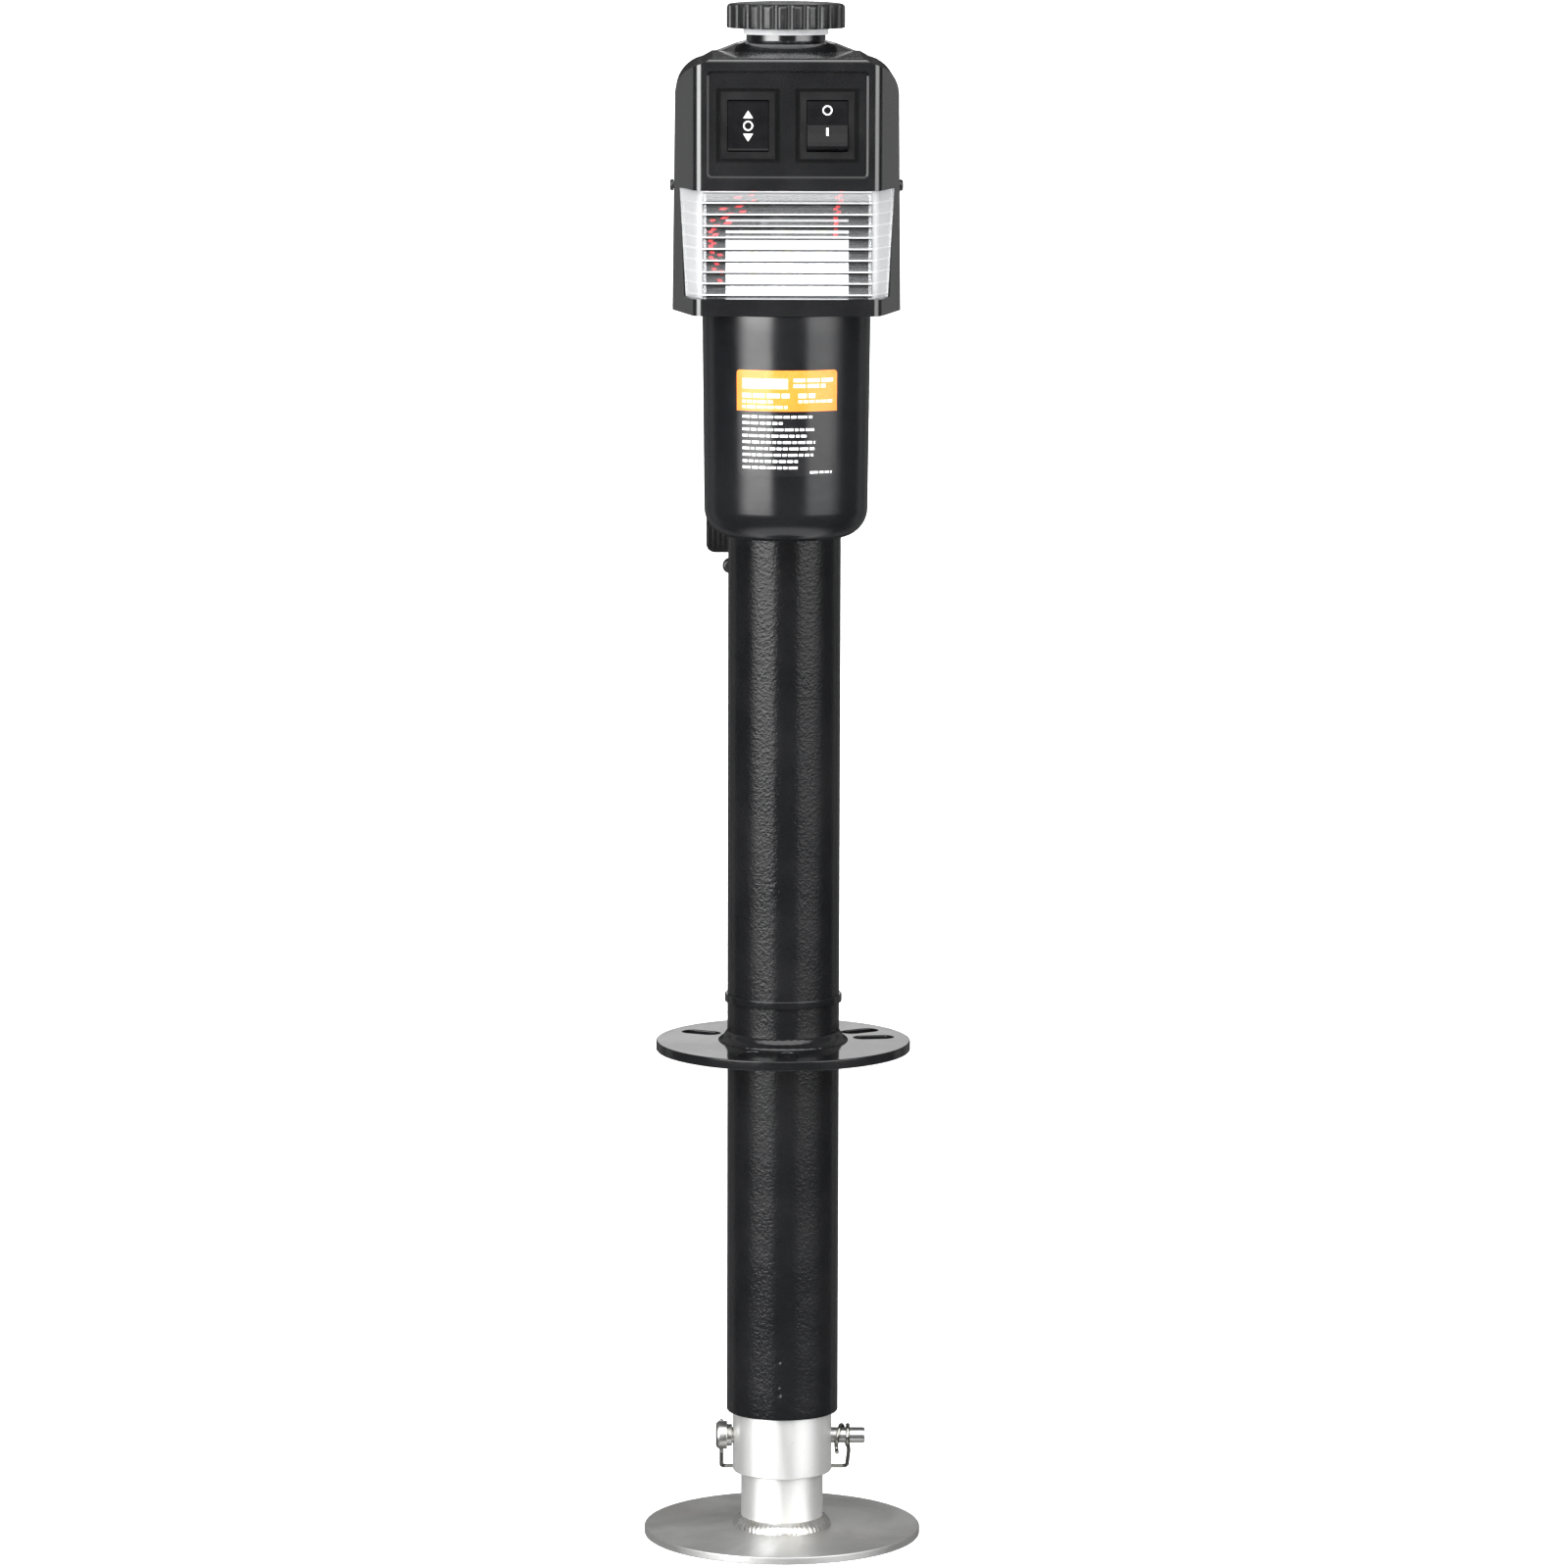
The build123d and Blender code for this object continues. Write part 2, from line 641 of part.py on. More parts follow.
YOKE_R, YOKE_RI = 36.0, 33.8
BELL_Z, BELL_T = 536, 5
YOKE_Z0 = BELL_Z + BELL_T
BELL_BOSS_R, BELL_BOSS_H = 10.0, 6
BELL_BUSH_R, BELL_BUSH_Z = 6.5, 531
CORE_R, CORE_Z, CORE_H = 28.0, 564, 54
COIL_HEAD_R, COIL_HEAD_Z, COIL_HEAD_H = 21.5, 557, 68
COMMUTATOR_R, COMMUTATOR_Z, COMMUTATOR_H = 11.0, 545, 12
CARD_Z, CARD_T = 546, 2
BRUSH_OFFSET = 16.2         # from the motor axis to the middle of a brush

save_rod("motor_shaft", SHAFT_R, 532, 130, MOTOR_XY)

# Laminated core with its slots, and the coil heads above and below
with BuildPart() as armature:
    with BuildSketch(level(CORE_Z)):
        with Locations(MOTOR_XY):
            Circle(CORE_R)
            with PolarLocations(25.0, 10):
                Rectangle(12.0, 2.4, mode=CUT)
    extrude(amount=CORE_H)
    with BuildSketch(level(COIL_HEAD_Z)):
        circles(COIL_HEAD_R, MOTOR_XY)
    extrude(amount=COIL_HEAD_H)
    with BuildSketch(level(550)):
        circles(SHAFT_R, MOTOR_XY)
    extrude(amount=90, mode=CUT)
save(armature, "armature")

with BuildPart() as commutator:
    with BuildSketch(level(COMMUTATOR_Z)):
        with Locations(MOTOR_XY):
            Circle(COMMUTATOR_R)
            with PolarLocations(COMMUTATOR_R, 20):
                Rectangle(2.4, 0.6, mode=CUT)
            Circle(SHAFT_R, mode=CUT)
    extrude(amount=COMMUTATOR_H)
save(commutator, "commutator")

# Steel yoke tube of the motor
save_ring("motor_can", YOKE_R, YOKE_RI, YOKE_Z0, CASE_Z0 - YOKE_Z0, MOTOR_XY)

# Bottom plate of the motor, with a boss for the lower bush
with BuildPart() as motor_end_bell:
    with BuildSketch(level(BELL_Z)):
        circles(YOKE_R, MOTOR_XY)
    extrude(amount=BELL_T)
    with BuildSketch(level(BELL_Z - BELL_BOSS_H)):
        circles(BELL_BOSS_R, MOTOR_XY)
    extrude(amount=BELL_BOSS_H)
    with BuildSketch(level(BELL_BUSH_Z)):
        circles(BELL_BUSH_R, MOTOR_XY)
    extrude(amount=12, mode=CUT)
    with BuildSketch(level(520)):
        circles(MOTOR_SCREW_R, *MOTOR_SCREWS)
    extrude(amount=30, mode=CUT)
save(motor_end_bell, "motor_end_bell")

# Two arc magnets, front and back
with BuildPart() as motor_magnets:
    with BuildSketch(level(560)):
        with Locations(MOTOR_XY):
            Circle(YOKE_RI)
            Circle(28.6, mode=CUT)
            Rectangle(80, 34, mode=CUT)
    extrude(amount=62)
save(motor_magnets, "motor_magnets")

with BuildPart() as brush_card:
    with BuildSketch(level(CARD_Z)):
        ring(YOKE_RI, 13.0, MOTOR_XY)
        circles(MOTOR_SCREW_R, *MOTOR_SCREWS, mode=CUT)
    extrude(amount=CARD_T)
save(brush_card, "brush_card")

with BuildPart() as brushes:
    with BuildSketch(level(CARD_Z + CARD_T)):
        with Locations((0, MOTOR_Y + BRUSH_OFFSET), (0, MOTOR_Y - BRUSH_OFFSET)):
            Rectangle(5.0, 10.0)
    extrude(amount=7)
save(brushes, "brushes")

# Shaft bushes, in the end bell and in the gear case
with BuildPart() as motor_bushes:
    for radius, z, height in ((BELL_BUSH_R, BELL_BUSH_Z, 11), (8.0, CASE_Z0, 12)):
        with BuildSketch(level(z)):
            ring(radius, SHAFT_R + 0.05, MOTOR_XY)
        extrude(amount=height)
save(motor_bushes, "motor_bushes")

# Long screws that clamp the yoke between the end bell and the gear case
with BuildPart() as motor_screws:
    with BuildSketch(level(BELL_Z)):
        circles(MOTOR_SCREW_R, *MOTOR_SCREWS)
    extrude(amount=106)
    with BuildSketch(level(BELL_Z - 3.4)):
        circles(3.6, *MOTOR_SCREWS)
    extrude(amount=3.4)
save(motor_screws, "motor_screws")

COVER_R1, COVER_R0 = 41.6, 40.5     # outside radius at the top, and above the bottom corner
COVER_Z0, COVER_Z1 = 524.5, CASE_Z0
COVER_WALL = 2.4
CORNER, CORNER_IN = 14.5, 15.2      # size of the bottom corner, outside and inside
CORNER_Z = COVER_Z0 + CORNER
MOTOR_AXIS = Axis((0, MOTOR_Y, 0), (0, 0, 1))

# Moulded cover that hangs round the motor
with BuildPart() as motor_cover:
    with BuildSketch(Plane(origin=(0, MOTOR_Y, 0), x_dir=(1, 0, 0), z_dir=(0, -1, 0))):
        with BuildLine():
            inner_r = COVER_R0 - COVER_WALL
            inner_corner = (inner_r, COVER_Z0 + CORNER_IN)
            inner_floor = (COVER_R0 - CORNER_IN, COVER_Z0 + COVER_WALL)
            base = Line((0, COVER_Z0), (COVER_R0 - CORNER, COVER_Z0 + 0.2))
            Line((COVER_R0, CORNER_Z), (COVER_R1, COVER_Z1))
            TangentArc(base @ 1, (COVER_R0, CORNER_Z), tangent=(1, 0))
            Polyline((COVER_R1, COVER_Z1), (COVER_R1 - COVER_WALL, COVER_Z1), inner_corner)
            TangentArc(inner_floor, inner_corner, tangent=(1, 0))
            Polyline(inner_floor, (0, COVER_Z0 + 2.2), (0, COVER_Z0))
        make_face()
    revolve(axis=MOTOR_AXIS)
save(motor_cover, "motor_cover")

LABEL_Z0, LABEL_Z1 = 558.0, 610.0
LABEL_A = 36.4              # half the angle it wraps, in degrees
LABEL_GAP, LABEL_T = 0.02, 0.15


def label_point(z, out):
    """(radius, z) at a distance out from the motor cover's tapered side."""
    rise = (z - CORNER_Z) / (COVER_Z1 - CORNER_Z)
    return (COVER_R0 + (COVER_R1 - COVER_R0) * rise + out, z)


# Paper label stuck on the front of the motor cover
with BuildPart() as rating_label:
    label_x = -math.sin(math.radians(LABEL_A))
    label_y = -math.cos(math.radians(LABEL_A))
    with BuildSketch(Plane(origin=(0, MOTOR_Y, 0), x_dir=(label_x, label_y, 0),
                           z_dir=(label_y, -label_x, 0))):
        with BuildLine():
            Polyline(label_point(LABEL_Z0, LABEL_GAP),
                     label_point(LABEL_Z1, LABEL_GAP),
                     label_point(LABEL_Z1, LABEL_GAP + LABEL_T),
                     label_point(LABEL_Z0, LABEL_GAP + LABEL_T), close=True)
        make_face()
    revolve(axis=MOTOR_AXIS, revolution_arc=2 * LABEL_A)
save(rating_label, "rating_label")

# =====================================================================
# Head cover
# =====================================================================

WALL = 2.5
# Tops of the head's two forms, from the shoulder to the middle: distance out, z
DOME_ROOF = ((25.8, 765.6), (20.0, 767.2), (0, 767.2))
TUNNEL_ROOF = ((37.0, 762.0), (0, 762.0))
LENS_Z0, LENS_Z1 = 644.9, 697.8
SWITCH_X, SWITCH_Z = 19.3, 729.3
PANEL_SIZE, PANEL_Z = (76.8, 50.2), 729.9           # floor of the recessed panel
POCKET = (31.1, 36.1)
BEZEL = (26.7, 32.8)
WINDOW = (20.2, 25.2)
PANEL_Y, FLOOR_Y, BEZEL_Y = -115.0, -112.5, -115.6
PIVOT_Y = -113.3


def head_half_profile(inset, roof):
    """Right half of the head's section in the open line, drawn in by inset."""
    shoulder_top = (42.0 - inset * 0.5, 759.2 - inset)
    shoulder_low = (55.2 - inset, 742.0 - inset * 0.4)
    Polyline((0, SKIRT_Z), (SIDE_W - inset, SKIRT_Z), shoulder_low)
    ThreePointArc(shoulder_low, (51.2 - inset * 0.8, 753.6 - inset * 0.8), shoulder_top)
    Polyline(shoulder_top, *[(x, z - inset) for x, z in roof], (0, SKIRT_Z))


def head_form(inset, front_y):
    """The head's outside, drawn in by inset; front_y is its foremost Y."""
    with BuildPart() as dome:
        with BuildSketch(Plane.XZ):
            with BuildLine():
                head_half_profile(inset, DOME_ROOF)
            make_face()
        revolve(axis=Axis.Z)
    with BuildPart() as tunnel:
        with BuildSketch(Plane.XZ):
            with BuildLine():
                head_half_profile(inset, TUNNEL_ROOF)
            make_face()
            mirror(about=Plane.YZ)
        extrude(amount=130)
    with BuildPart() as form:
        with BuildSketch(level(SKIRT_Z)):
            with BuildLine():
                head_plan(SIDE_W + 0.2 - inset, FRONT_W - inset * 0.9, front_y)
            make_face()
            fillet(vertices().sort_by(Axis.Y)[0:2], 5.0 - inset)
            fillet(vertices().filter_by(lambda corner: abs(corner.Y - SIDE_Y) < 0.01), 30.0)
        extrude(amount=140)
        add(dome.part + tunnel.part, mode=Mode.INTERSECT)
    return form.part


def lens_side(back_gap=0, edge_gap=0):
    """Lens opening seen from the side, as (y, z); the gaps shrink it behind and in height."""
    return ((-140, LENS_Z0 + edge_gap), (-140, LENS_Z1 - edge_gap),
            (-87.2 - back_gap, LENS_Z1 - edge_gap), (-95.2 - back_gap, LENS_Z0 + edge_gap))


# Hollow inside the cover; the cover's front stays thicker behind the switch panel
with BuildPart() as cavity:
    add(head_form(WALL, FRONT_Y + WALL))
    with BuildSketch(level(700)):
        with Locations((0, -115.0)):
            Rectangle(120.0, 12.0)
    extrude(amount=80, mode=CUT)

# Moulded head cover: switch panel in front, skirt round the gear case, neck on top
with BuildPart() as housing_cover:
    add(head_form(0.0, FRONT_Y))
    top_front = housing_cover.edges().filter_by(Axis.X).filter_by(
        lambda edge: edge.center().Y < FRONT_Y + 1 and edge.center().Z > 760)
    fillet(top_front, 2.0)
    with BuildSketch(level(SPOUT_Z - 8)):
        Circle(20.0)
    extrude(amount=8)
    with BuildSketch(level(SPOUT_Z)):
        Circle(SPOUT_R)
    extrude(amount=11.5)
    add(cavity.part, mode=CUT)
    with BuildSketch(level(740)):
        Circle(13.0)
    extrude(amount=60, mode=CUT)
    # recessed switch panel with a bevelled rim
    with BuildSketch(facing(PANEL_Y)):
        with Locations((0, PANEL_Z)):
            RectangleRounded(*PANEL_SIZE, 1.5)
    extrude(amount=10, taper=-26, mode=CUT)
    # switch pockets and the holes for the switch bodies
    for x in (-SWITCH_X, SWITCH_X):
        with BuildSketch(facing(FLOOR_Y)):
            with Locations((x, SWITCH_Z)):
                Rectangle(*POCKET)
        extrude(amount=10, mode=CUT)
        with BuildSketch(facing(-100)):
            with Locations((x, SWITCH_Z)):
                Rectangle(22.8, 28.2)
        extrude(amount=20, mode=CUT)
    # opening for the lens, wrapping round onto both cheeks
    with BuildSketch(side(-ACROSS / 2)):
        with BuildLine():
            Polyline(*lens_side(), close=True)
        make_face()
    extrude(amount=ACROSS, mode=CUT)
    # holes for the two side screws
    with BuildSketch(side(-ACROSS / 2)):
        circles(SIDE_SCREW_R, SIDE_SCREW_YZ)
    extrude(amount=ACROSS, mode=CUT)
save(housing_cover, "housing_cover")

# One screw through each side of the cover, with a rounded head
with BuildPart() as cover_screws:
    for hand in (-1, 1):
        for x, radius, length in ((47.0, SIDE_SCREW_R, 10.0), (56.0, 2.9, 1.8)):
            with BuildSketch(Plane(origin=(hand * x, *SIDE_SCREW_YZ), z_dir=(hand, 0, 0))):
                Circle(radius)
            extrude(amount=length)
    fillet(cover_screws.edges().filter_by(GeomType.CIRCLE).filter_by(
        lambda edge: edge.radius > 2.5 and abs(edge.center().X) > 57), 1.2)
save(cover_screws, "cover_screws")

# =====================================================================
# Lamp
# =====================================================================

# Plan of the lens, x and y: outside from left to right, then back along the inside
LENS_PLAN = (
    (-54.03, -84), (-41, -118), (41, -118), (54.03, -84),
    (51.9, -84), (39.6, -116.1), (-39.6, -116.1), (-51.9, -84),
)
RIB_COUNT, RIB_PITCH, RIB_FIRST = 9, 5.6, 4.2
RIB_W = 79.0
LAMP_XZ = (0, 661.1)
TRAY_BACK_Y, TRAY_FLOOR_Y = -90, -91.6
BOARD_T = 1.6

# Clear lens: flat front, two splayed wings, horizontal ribs moulded on the inside
with BuildPart() as lens:
    with BuildSketch(level(LENS_Z0 - 1)):
        with BuildLine():
            Polyline(*LENS_PLAN, close=True)
        make_face()
    extrude(amount=LENS_Z1 - LENS_Z0 + 2)
    for k in range(RIB_COUNT):
        z = LENS_Z0 + RIB_FIRST + RIB_PITCH * k
        with BuildSketch(side(-RIB_W / 2)):
            with BuildLine():
                Polyline((-116.3, z - 1.5), (-114.9, z), (-116.3, z + 1.5), close=True)
            make_face()
        extrude(amount=RIB_W)
    with BuildSketch(side(-ACROSS / 2)):
        with BuildLine():
            Polyline(*lens_side(back_gap=0.4, edge_gap=0.25), close=True)
        make_face()
    extrude(amount=ACROSS, mode=Mode.INTERSECT)
save(lens, "lens")

# White tray behind the lens
with BuildPart() as lamp_reflector:
    with BuildSketch(facing(TRAY_BACK_Y)):
        with Locations(LAMP_XZ):
            Rectangle(60.0, 31.8)
    extrude(amount=16)
    with BuildSketch(facing(TRAY_FLOOR_Y)):
        with Locations(LAMP_XZ):
            Rectangle(56.0, 28.0)
    extrude(amount=20, taper=-4, mode=CUT)
save(lamp_reflector, "lamp_reflector")

with BuildPart() as led_board:
    with BuildSketch(facing(TRAY_FLOOR_Y)):
        with Locations(LAMP_XZ):
            Rectangle(55.4, 27.4)
    extrude(amount=BOARD_T)
save(led_board, "led_board")

with BuildPart() as led_emitters:
    with BuildSketch(facing(TRAY_FLOOR_Y - BOARD_T)):
        with Locations(LAMP_XZ):
            with GridLocations(17.0, 12.0, 3, 2):
                Rectangle(5.0, 5.0)
    extrude(amount=1.5)
save(led_emitters, "led_emitters")

# Points along each lamp lead, from behind the switches down to the lamp
LAMP_LEADS = (
    ((-14.0, -99.0, 703.0), (-24.0, -102.0, 689.0), (-37.0, -101.0, 676.0),
     (-35.0, -97.0, 662.0), (-31.4, -96.0, 656.0)),
    ((26.5, -99.0, 703.0), (25.5, -101.0, 692.0), (23.8, -100.0, 684.0),
     (24.0, -98.0, 678.3)),
)

with BuildPart() as lamp_wires:
    for points in LAMP_LEADS:
        with BuildLine():
            lead = Spline(*points)
        with BuildSketch(Plane(origin=lead @ 0, z_dir=lead % 0)):
            Circle(1.1)
        sweep(path=lead)
save(lamp_wires, "lamp_wires")

# =====================================================================
# Switches
# =====================================================================

BODY_DEPTH = 20.0
ROCKER_W = 19.6
TRUNNION_R, TRUNNION_L = 1.5, 22.0

# Rocker outlines: forward and up from the pivot
DIRECTION_PROFILE = (
    (3.0, 11.9), (1.5, 12.15), (0, 12.25), (-2, 12.05), (-7, 6.5), (-7, -6.5),
    (-2, -12.05), (0, -12.25), (1.5, -12.15), (3.0, -11.9), (2.75, -11.0), (2.6, 0),
    (2.75, 11.0),
)
LIGHT_PROFILE = (
    (4.4, 11.4), (2, 12.1), (0, 12.25), (-2, 12.05), (-7, 6.5), (-7, -6.5),
    (-2, -12.05), (0, -12.25), (2, -12.1), (3.9, -11.6), (4.4, -10.4), (4.2, -8.6),
    (3.2, -4.0), (2.7, 0), (3.2, 4.0), (4.0, 8.0),
)


def save_switch_body(name, x):
    """Rectangular snap-in rocker switch housing, open in front, three blades behind."""
    with BuildPart() as body:
        with BuildSketch(facing(FLOOR_Y)):
            with Locations((x, SWITCH_Z)):
                Rectangle(*BEZEL)
        extrude(amount=FLOOR_Y - BEZEL_Y)
        chamfer(body.edges().group_by(Axis.Y)[0], 0.5)
        with BuildSketch(facing(FLOOR_Y)):
            with Locations((x, SWITCH_Z)):
                Rectangle(22.6, 28.0)
        extrude(amount=-BODY_DEPTH)
        with BuildSketch(facing(-104.3)):
            with Locations((x, SWITCH_Z)):
                Rectangle(*WINDOW)
        extrude(amount=20, mode=CUT)
        with BuildSketch(side(x - 11.2)):
            circles(TRUNNION_R + 0.05, (PIVOT_Y, SWITCH_Z))
        extrude(amount=22.4, mode=CUT)
        with BuildSketch(facing(FLOOR_Y + BODY_DEPTH)):
            with Locations((x, SWITCH_Z)):
                with GridLocations(1.0, 8.0, 1, 3):
                    Rectangle(6.3, 0.8)
        extrude(amount=-8.0)
    save(body, name)


def save_rocker(name, x, profile, tilt):
    """Rocker with its two trunnions; a positive tilt presses its upper side."""
    cosine = math.cos(math.radians(tilt))
    sine = math.sin(math.radians(tilt))
    points = [(PIVOT_Y - (forward * cosine - up * sine),
               SWITCH_Z + (forward * sine + up * cosine)) for forward, up in profile]
    with BuildPart() as body:
        with BuildSketch(side(x - ROCKER_W / 2)):
            with BuildLine():
                Polyline(*points, close=True)
            make_face()
        extrude(amount=ROCKER_W)
        with BuildSketch(side(x - TRUNNION_L / 2)):
            circles(TRUNNION_R, (PIVOT_Y, SWITCH_Z))
        extrude(amount=TRUNNION_L)
    save(body, name)


# Momentary direction switch on the left, centred; latching light switch, upper side pressed
save_switch_body("direction_switch_body", -SWITCH_X)
save_switch_body("light_switch_body", SWITCH_X)
save_rocker("direction_rocker", -SWITCH_X, DIRECTION_PROFILE, tilt=0)
save_rocker("light_rocker", SWITCH_X, LIGHT_PROFILE, tilt=8)

# =====================================================================
# Crank cap
# =====================================================================

CAP_R, CAP_Z0, CAP_Z1 = 29.8, 773.2, 786.4

save_ring("cap_seal", 21.4, SPOUT_R + 0.1, SPOUT_Z, 3.1)

# Round cap with 24 scallops round its rim and a socket for the spout
with BuildPart() as manual_cap:
    with BuildSketch(Plane.XZ):
        with BuildLine():
            rim_low = (CAP_R, CAP_Z1 - 3.2)
            rim_top = (CAP_R - 3.2, CAP_Z1 - 0.6)
            Polyline((0, CAP_Z0), (CAP_R - 0.6, CAP_Z0), (CAP_R, CAP_Z0 + 0.6), rim_low)
            ThreePointArc(rim_low, (CAP_R - 0.9, CAP_Z1 - 1.3), rim_top)
            Polyline(rim_top, (12.0, CAP_Z1), (0, CAP_Z1), (0, CAP_Z0))
        make_face()
    revolve(axis=Axis.Z)
    with BuildSketch(level(CAP_Z0 - 1)):
        with PolarLocations(CAP_R + 0.8, 24, start_angle=3.75):
            Circle(2.2)
    extrude(amount=20, mode=CUT)
    with BuildSketch(level(CAP_Z0 - 1)):
        Circle(SPOUT_R + 0.1)
    extrude(amount=10.2, mode=CUT)
save(manual_cap, "manual_cap")

# =====================================================================
# Supply lead and its connector, behind the tube on the left
# =====================================================================

CONNECTOR_Z, CONNECTOR_H = 507, 43
CONNECTOR_PLAN = ((-39.7, 14.0), (-24.0, 14.0), (-8.0, 27.0), (-8.0, 34.0), (-39.7, 34.0))
LUG_XZ = (-27.7, 499.0)     # screw through the lug under the connector
LUG_Y = 26.5                # front face of the lug
LUG_SCREW_R, LUG_HEAD_H = 2.0, 3.9

# Connector: block, four ribs on its front, screw lug below, hollowed to fit the tube
with BuildPart() as cable_connector:
    with BuildSketch(level(CONNECTOR_Z)):
        with BuildLine():
            Polyline(*CONNECTOR_PLAN, close=True)
        make_face()
    extrude(amount=CONNECTOR_H)
    left_edges = cable_connector.edges().filter_by(Axis.Y).sort_by(Axis.X)[0:2]
    fillet(left_edges.sort_by(Axis.Z)[0:1], 4.5)
    with BuildSketch(facing(13.0)):
        with Locations((-34.6, 514.0)):
            with GridLocations(2.6, 1.0, 4, 1):
                Rectangle(0.9, 11.0)
    extrude(amount=-2.0)
    with BuildSketch(facing(LUG_Y)):
        circles(3.6, LUG_XZ)
        with Locations((-22.35, 501.45)):
            Rectangle(10.7, 12.1)
    extrude(amount=-4.0)
    with BuildSketch(level(480)):
        Circle(OUTER_R + 0.05)
    extrude(amount=80, mode=CUT)
    with BuildSketch(Plane.XZ):
        circles(LUG_SCREW_R, LUG_XZ)
    extrude(amount=-60, mode=CUT)
    with BuildSketch(level(540)):
        circles(CABLE_R, CABLE_LOW)
    extrude(amount=20, mode=CUT)
save(cable_connector, "cable_connector")

# Screw in the lug; its rounded head is at the front
with BuildPart() as connector_screw:
    with BuildSketch(facing(LUG_Y - LUG_HEAD_H)):
        circles(3.75, LUG_XZ)
    extrude(amount=-LUG_HEAD_H)
    fillet(connector_screw.edges().group_by(Axis.Y)[0], 1.6)
    with BuildSketch(facing(LUG_Y - 0.5)):
        circles(LUG_SCREW_R, LUG_XZ)
    extrude(amount=-7.0)
save(connector_screw, "connector_screw")

# Cable from the connector up into the gear case
with BuildPart() as power_cable:
    with BuildLine():
        Line((*CABLE_LOW, 541.0), (*CABLE_LOW, 552.0))
        Spline((*CABLE_LOW, 552.0), (*CABLE_TOP, 612.0), tangents=((0, 0, 1), (0, 0, 1)))
        Line((*CABLE_TOP, 612.0), (*CABLE_TOP, 660.0))
    with BuildSketch(level(541.0)):
        circles(CABLE_R - 0.05, CABLE_LOW)
    sweep()
save(power_cable, "power_cable")
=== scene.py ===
# An electric jack standing upright on its round foot. The tube, ram and leg share the Z axis,
# the foot rests on z = 0, and the motor and rockers face -Y, towards the camera.
# Shapes are in millimetres; materials, stage and camera are in metres.

import json
import math
import random

import bmesh
import bpy
from mathutils import Matrix, Vector, noise
from mathutils.bvhtree import BVHTree
from mathutils.geometry import delaunay_2d_cdt

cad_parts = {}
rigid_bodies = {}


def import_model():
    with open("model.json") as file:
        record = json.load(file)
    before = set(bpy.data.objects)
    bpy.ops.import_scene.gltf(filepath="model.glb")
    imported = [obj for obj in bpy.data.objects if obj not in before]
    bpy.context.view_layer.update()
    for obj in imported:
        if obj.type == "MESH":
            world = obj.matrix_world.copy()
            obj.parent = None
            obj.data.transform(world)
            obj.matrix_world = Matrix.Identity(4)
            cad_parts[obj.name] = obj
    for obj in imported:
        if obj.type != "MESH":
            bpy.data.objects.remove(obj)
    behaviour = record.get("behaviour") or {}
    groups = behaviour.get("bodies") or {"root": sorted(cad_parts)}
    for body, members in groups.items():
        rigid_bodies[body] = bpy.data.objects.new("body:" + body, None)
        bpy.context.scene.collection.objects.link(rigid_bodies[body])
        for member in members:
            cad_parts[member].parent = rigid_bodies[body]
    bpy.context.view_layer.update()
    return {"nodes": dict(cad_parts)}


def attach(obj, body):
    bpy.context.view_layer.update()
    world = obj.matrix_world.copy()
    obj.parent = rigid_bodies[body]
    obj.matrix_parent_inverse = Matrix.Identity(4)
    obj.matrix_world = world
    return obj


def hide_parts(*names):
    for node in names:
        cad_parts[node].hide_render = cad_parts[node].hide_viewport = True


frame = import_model()
NODES = frame["nodes"]
scene = bpy.context.scene

MM = 0.001
TAU = 2 * math.pi
FRONT = -math.pi / 2  # the angle of -Y about the Z axis

TUBE_RADIUS, TUBE_BORE = 28.575, 25.575
FLANGE_RADIUS, FLANGE_BOTTOM, FLANGE_TOP = 65, 253, 258
RAM_RADIUS, RAM_BORE = 25.4, 21.6
LEG_RADIUS, LEG_BORE = 21.1, 18
FOOT_RADIUS, FOOT_THICKNESS = 71, 4
LOCK_Z = 51.0  # height of the lock pin's axis
LEG_HOLES = [LOCK_Z + 25.4 * k for k in range(7)]
MOTOR_Y = -74  # the motor cover's upright axis

# ---------------------------------------------------------------- shader nodes

EVEN = (1, 1, 1)
MIDDLE = (0.3, 0.7)  # the range in which most noise values lie
WHITE = (1, 1, 1, 1)


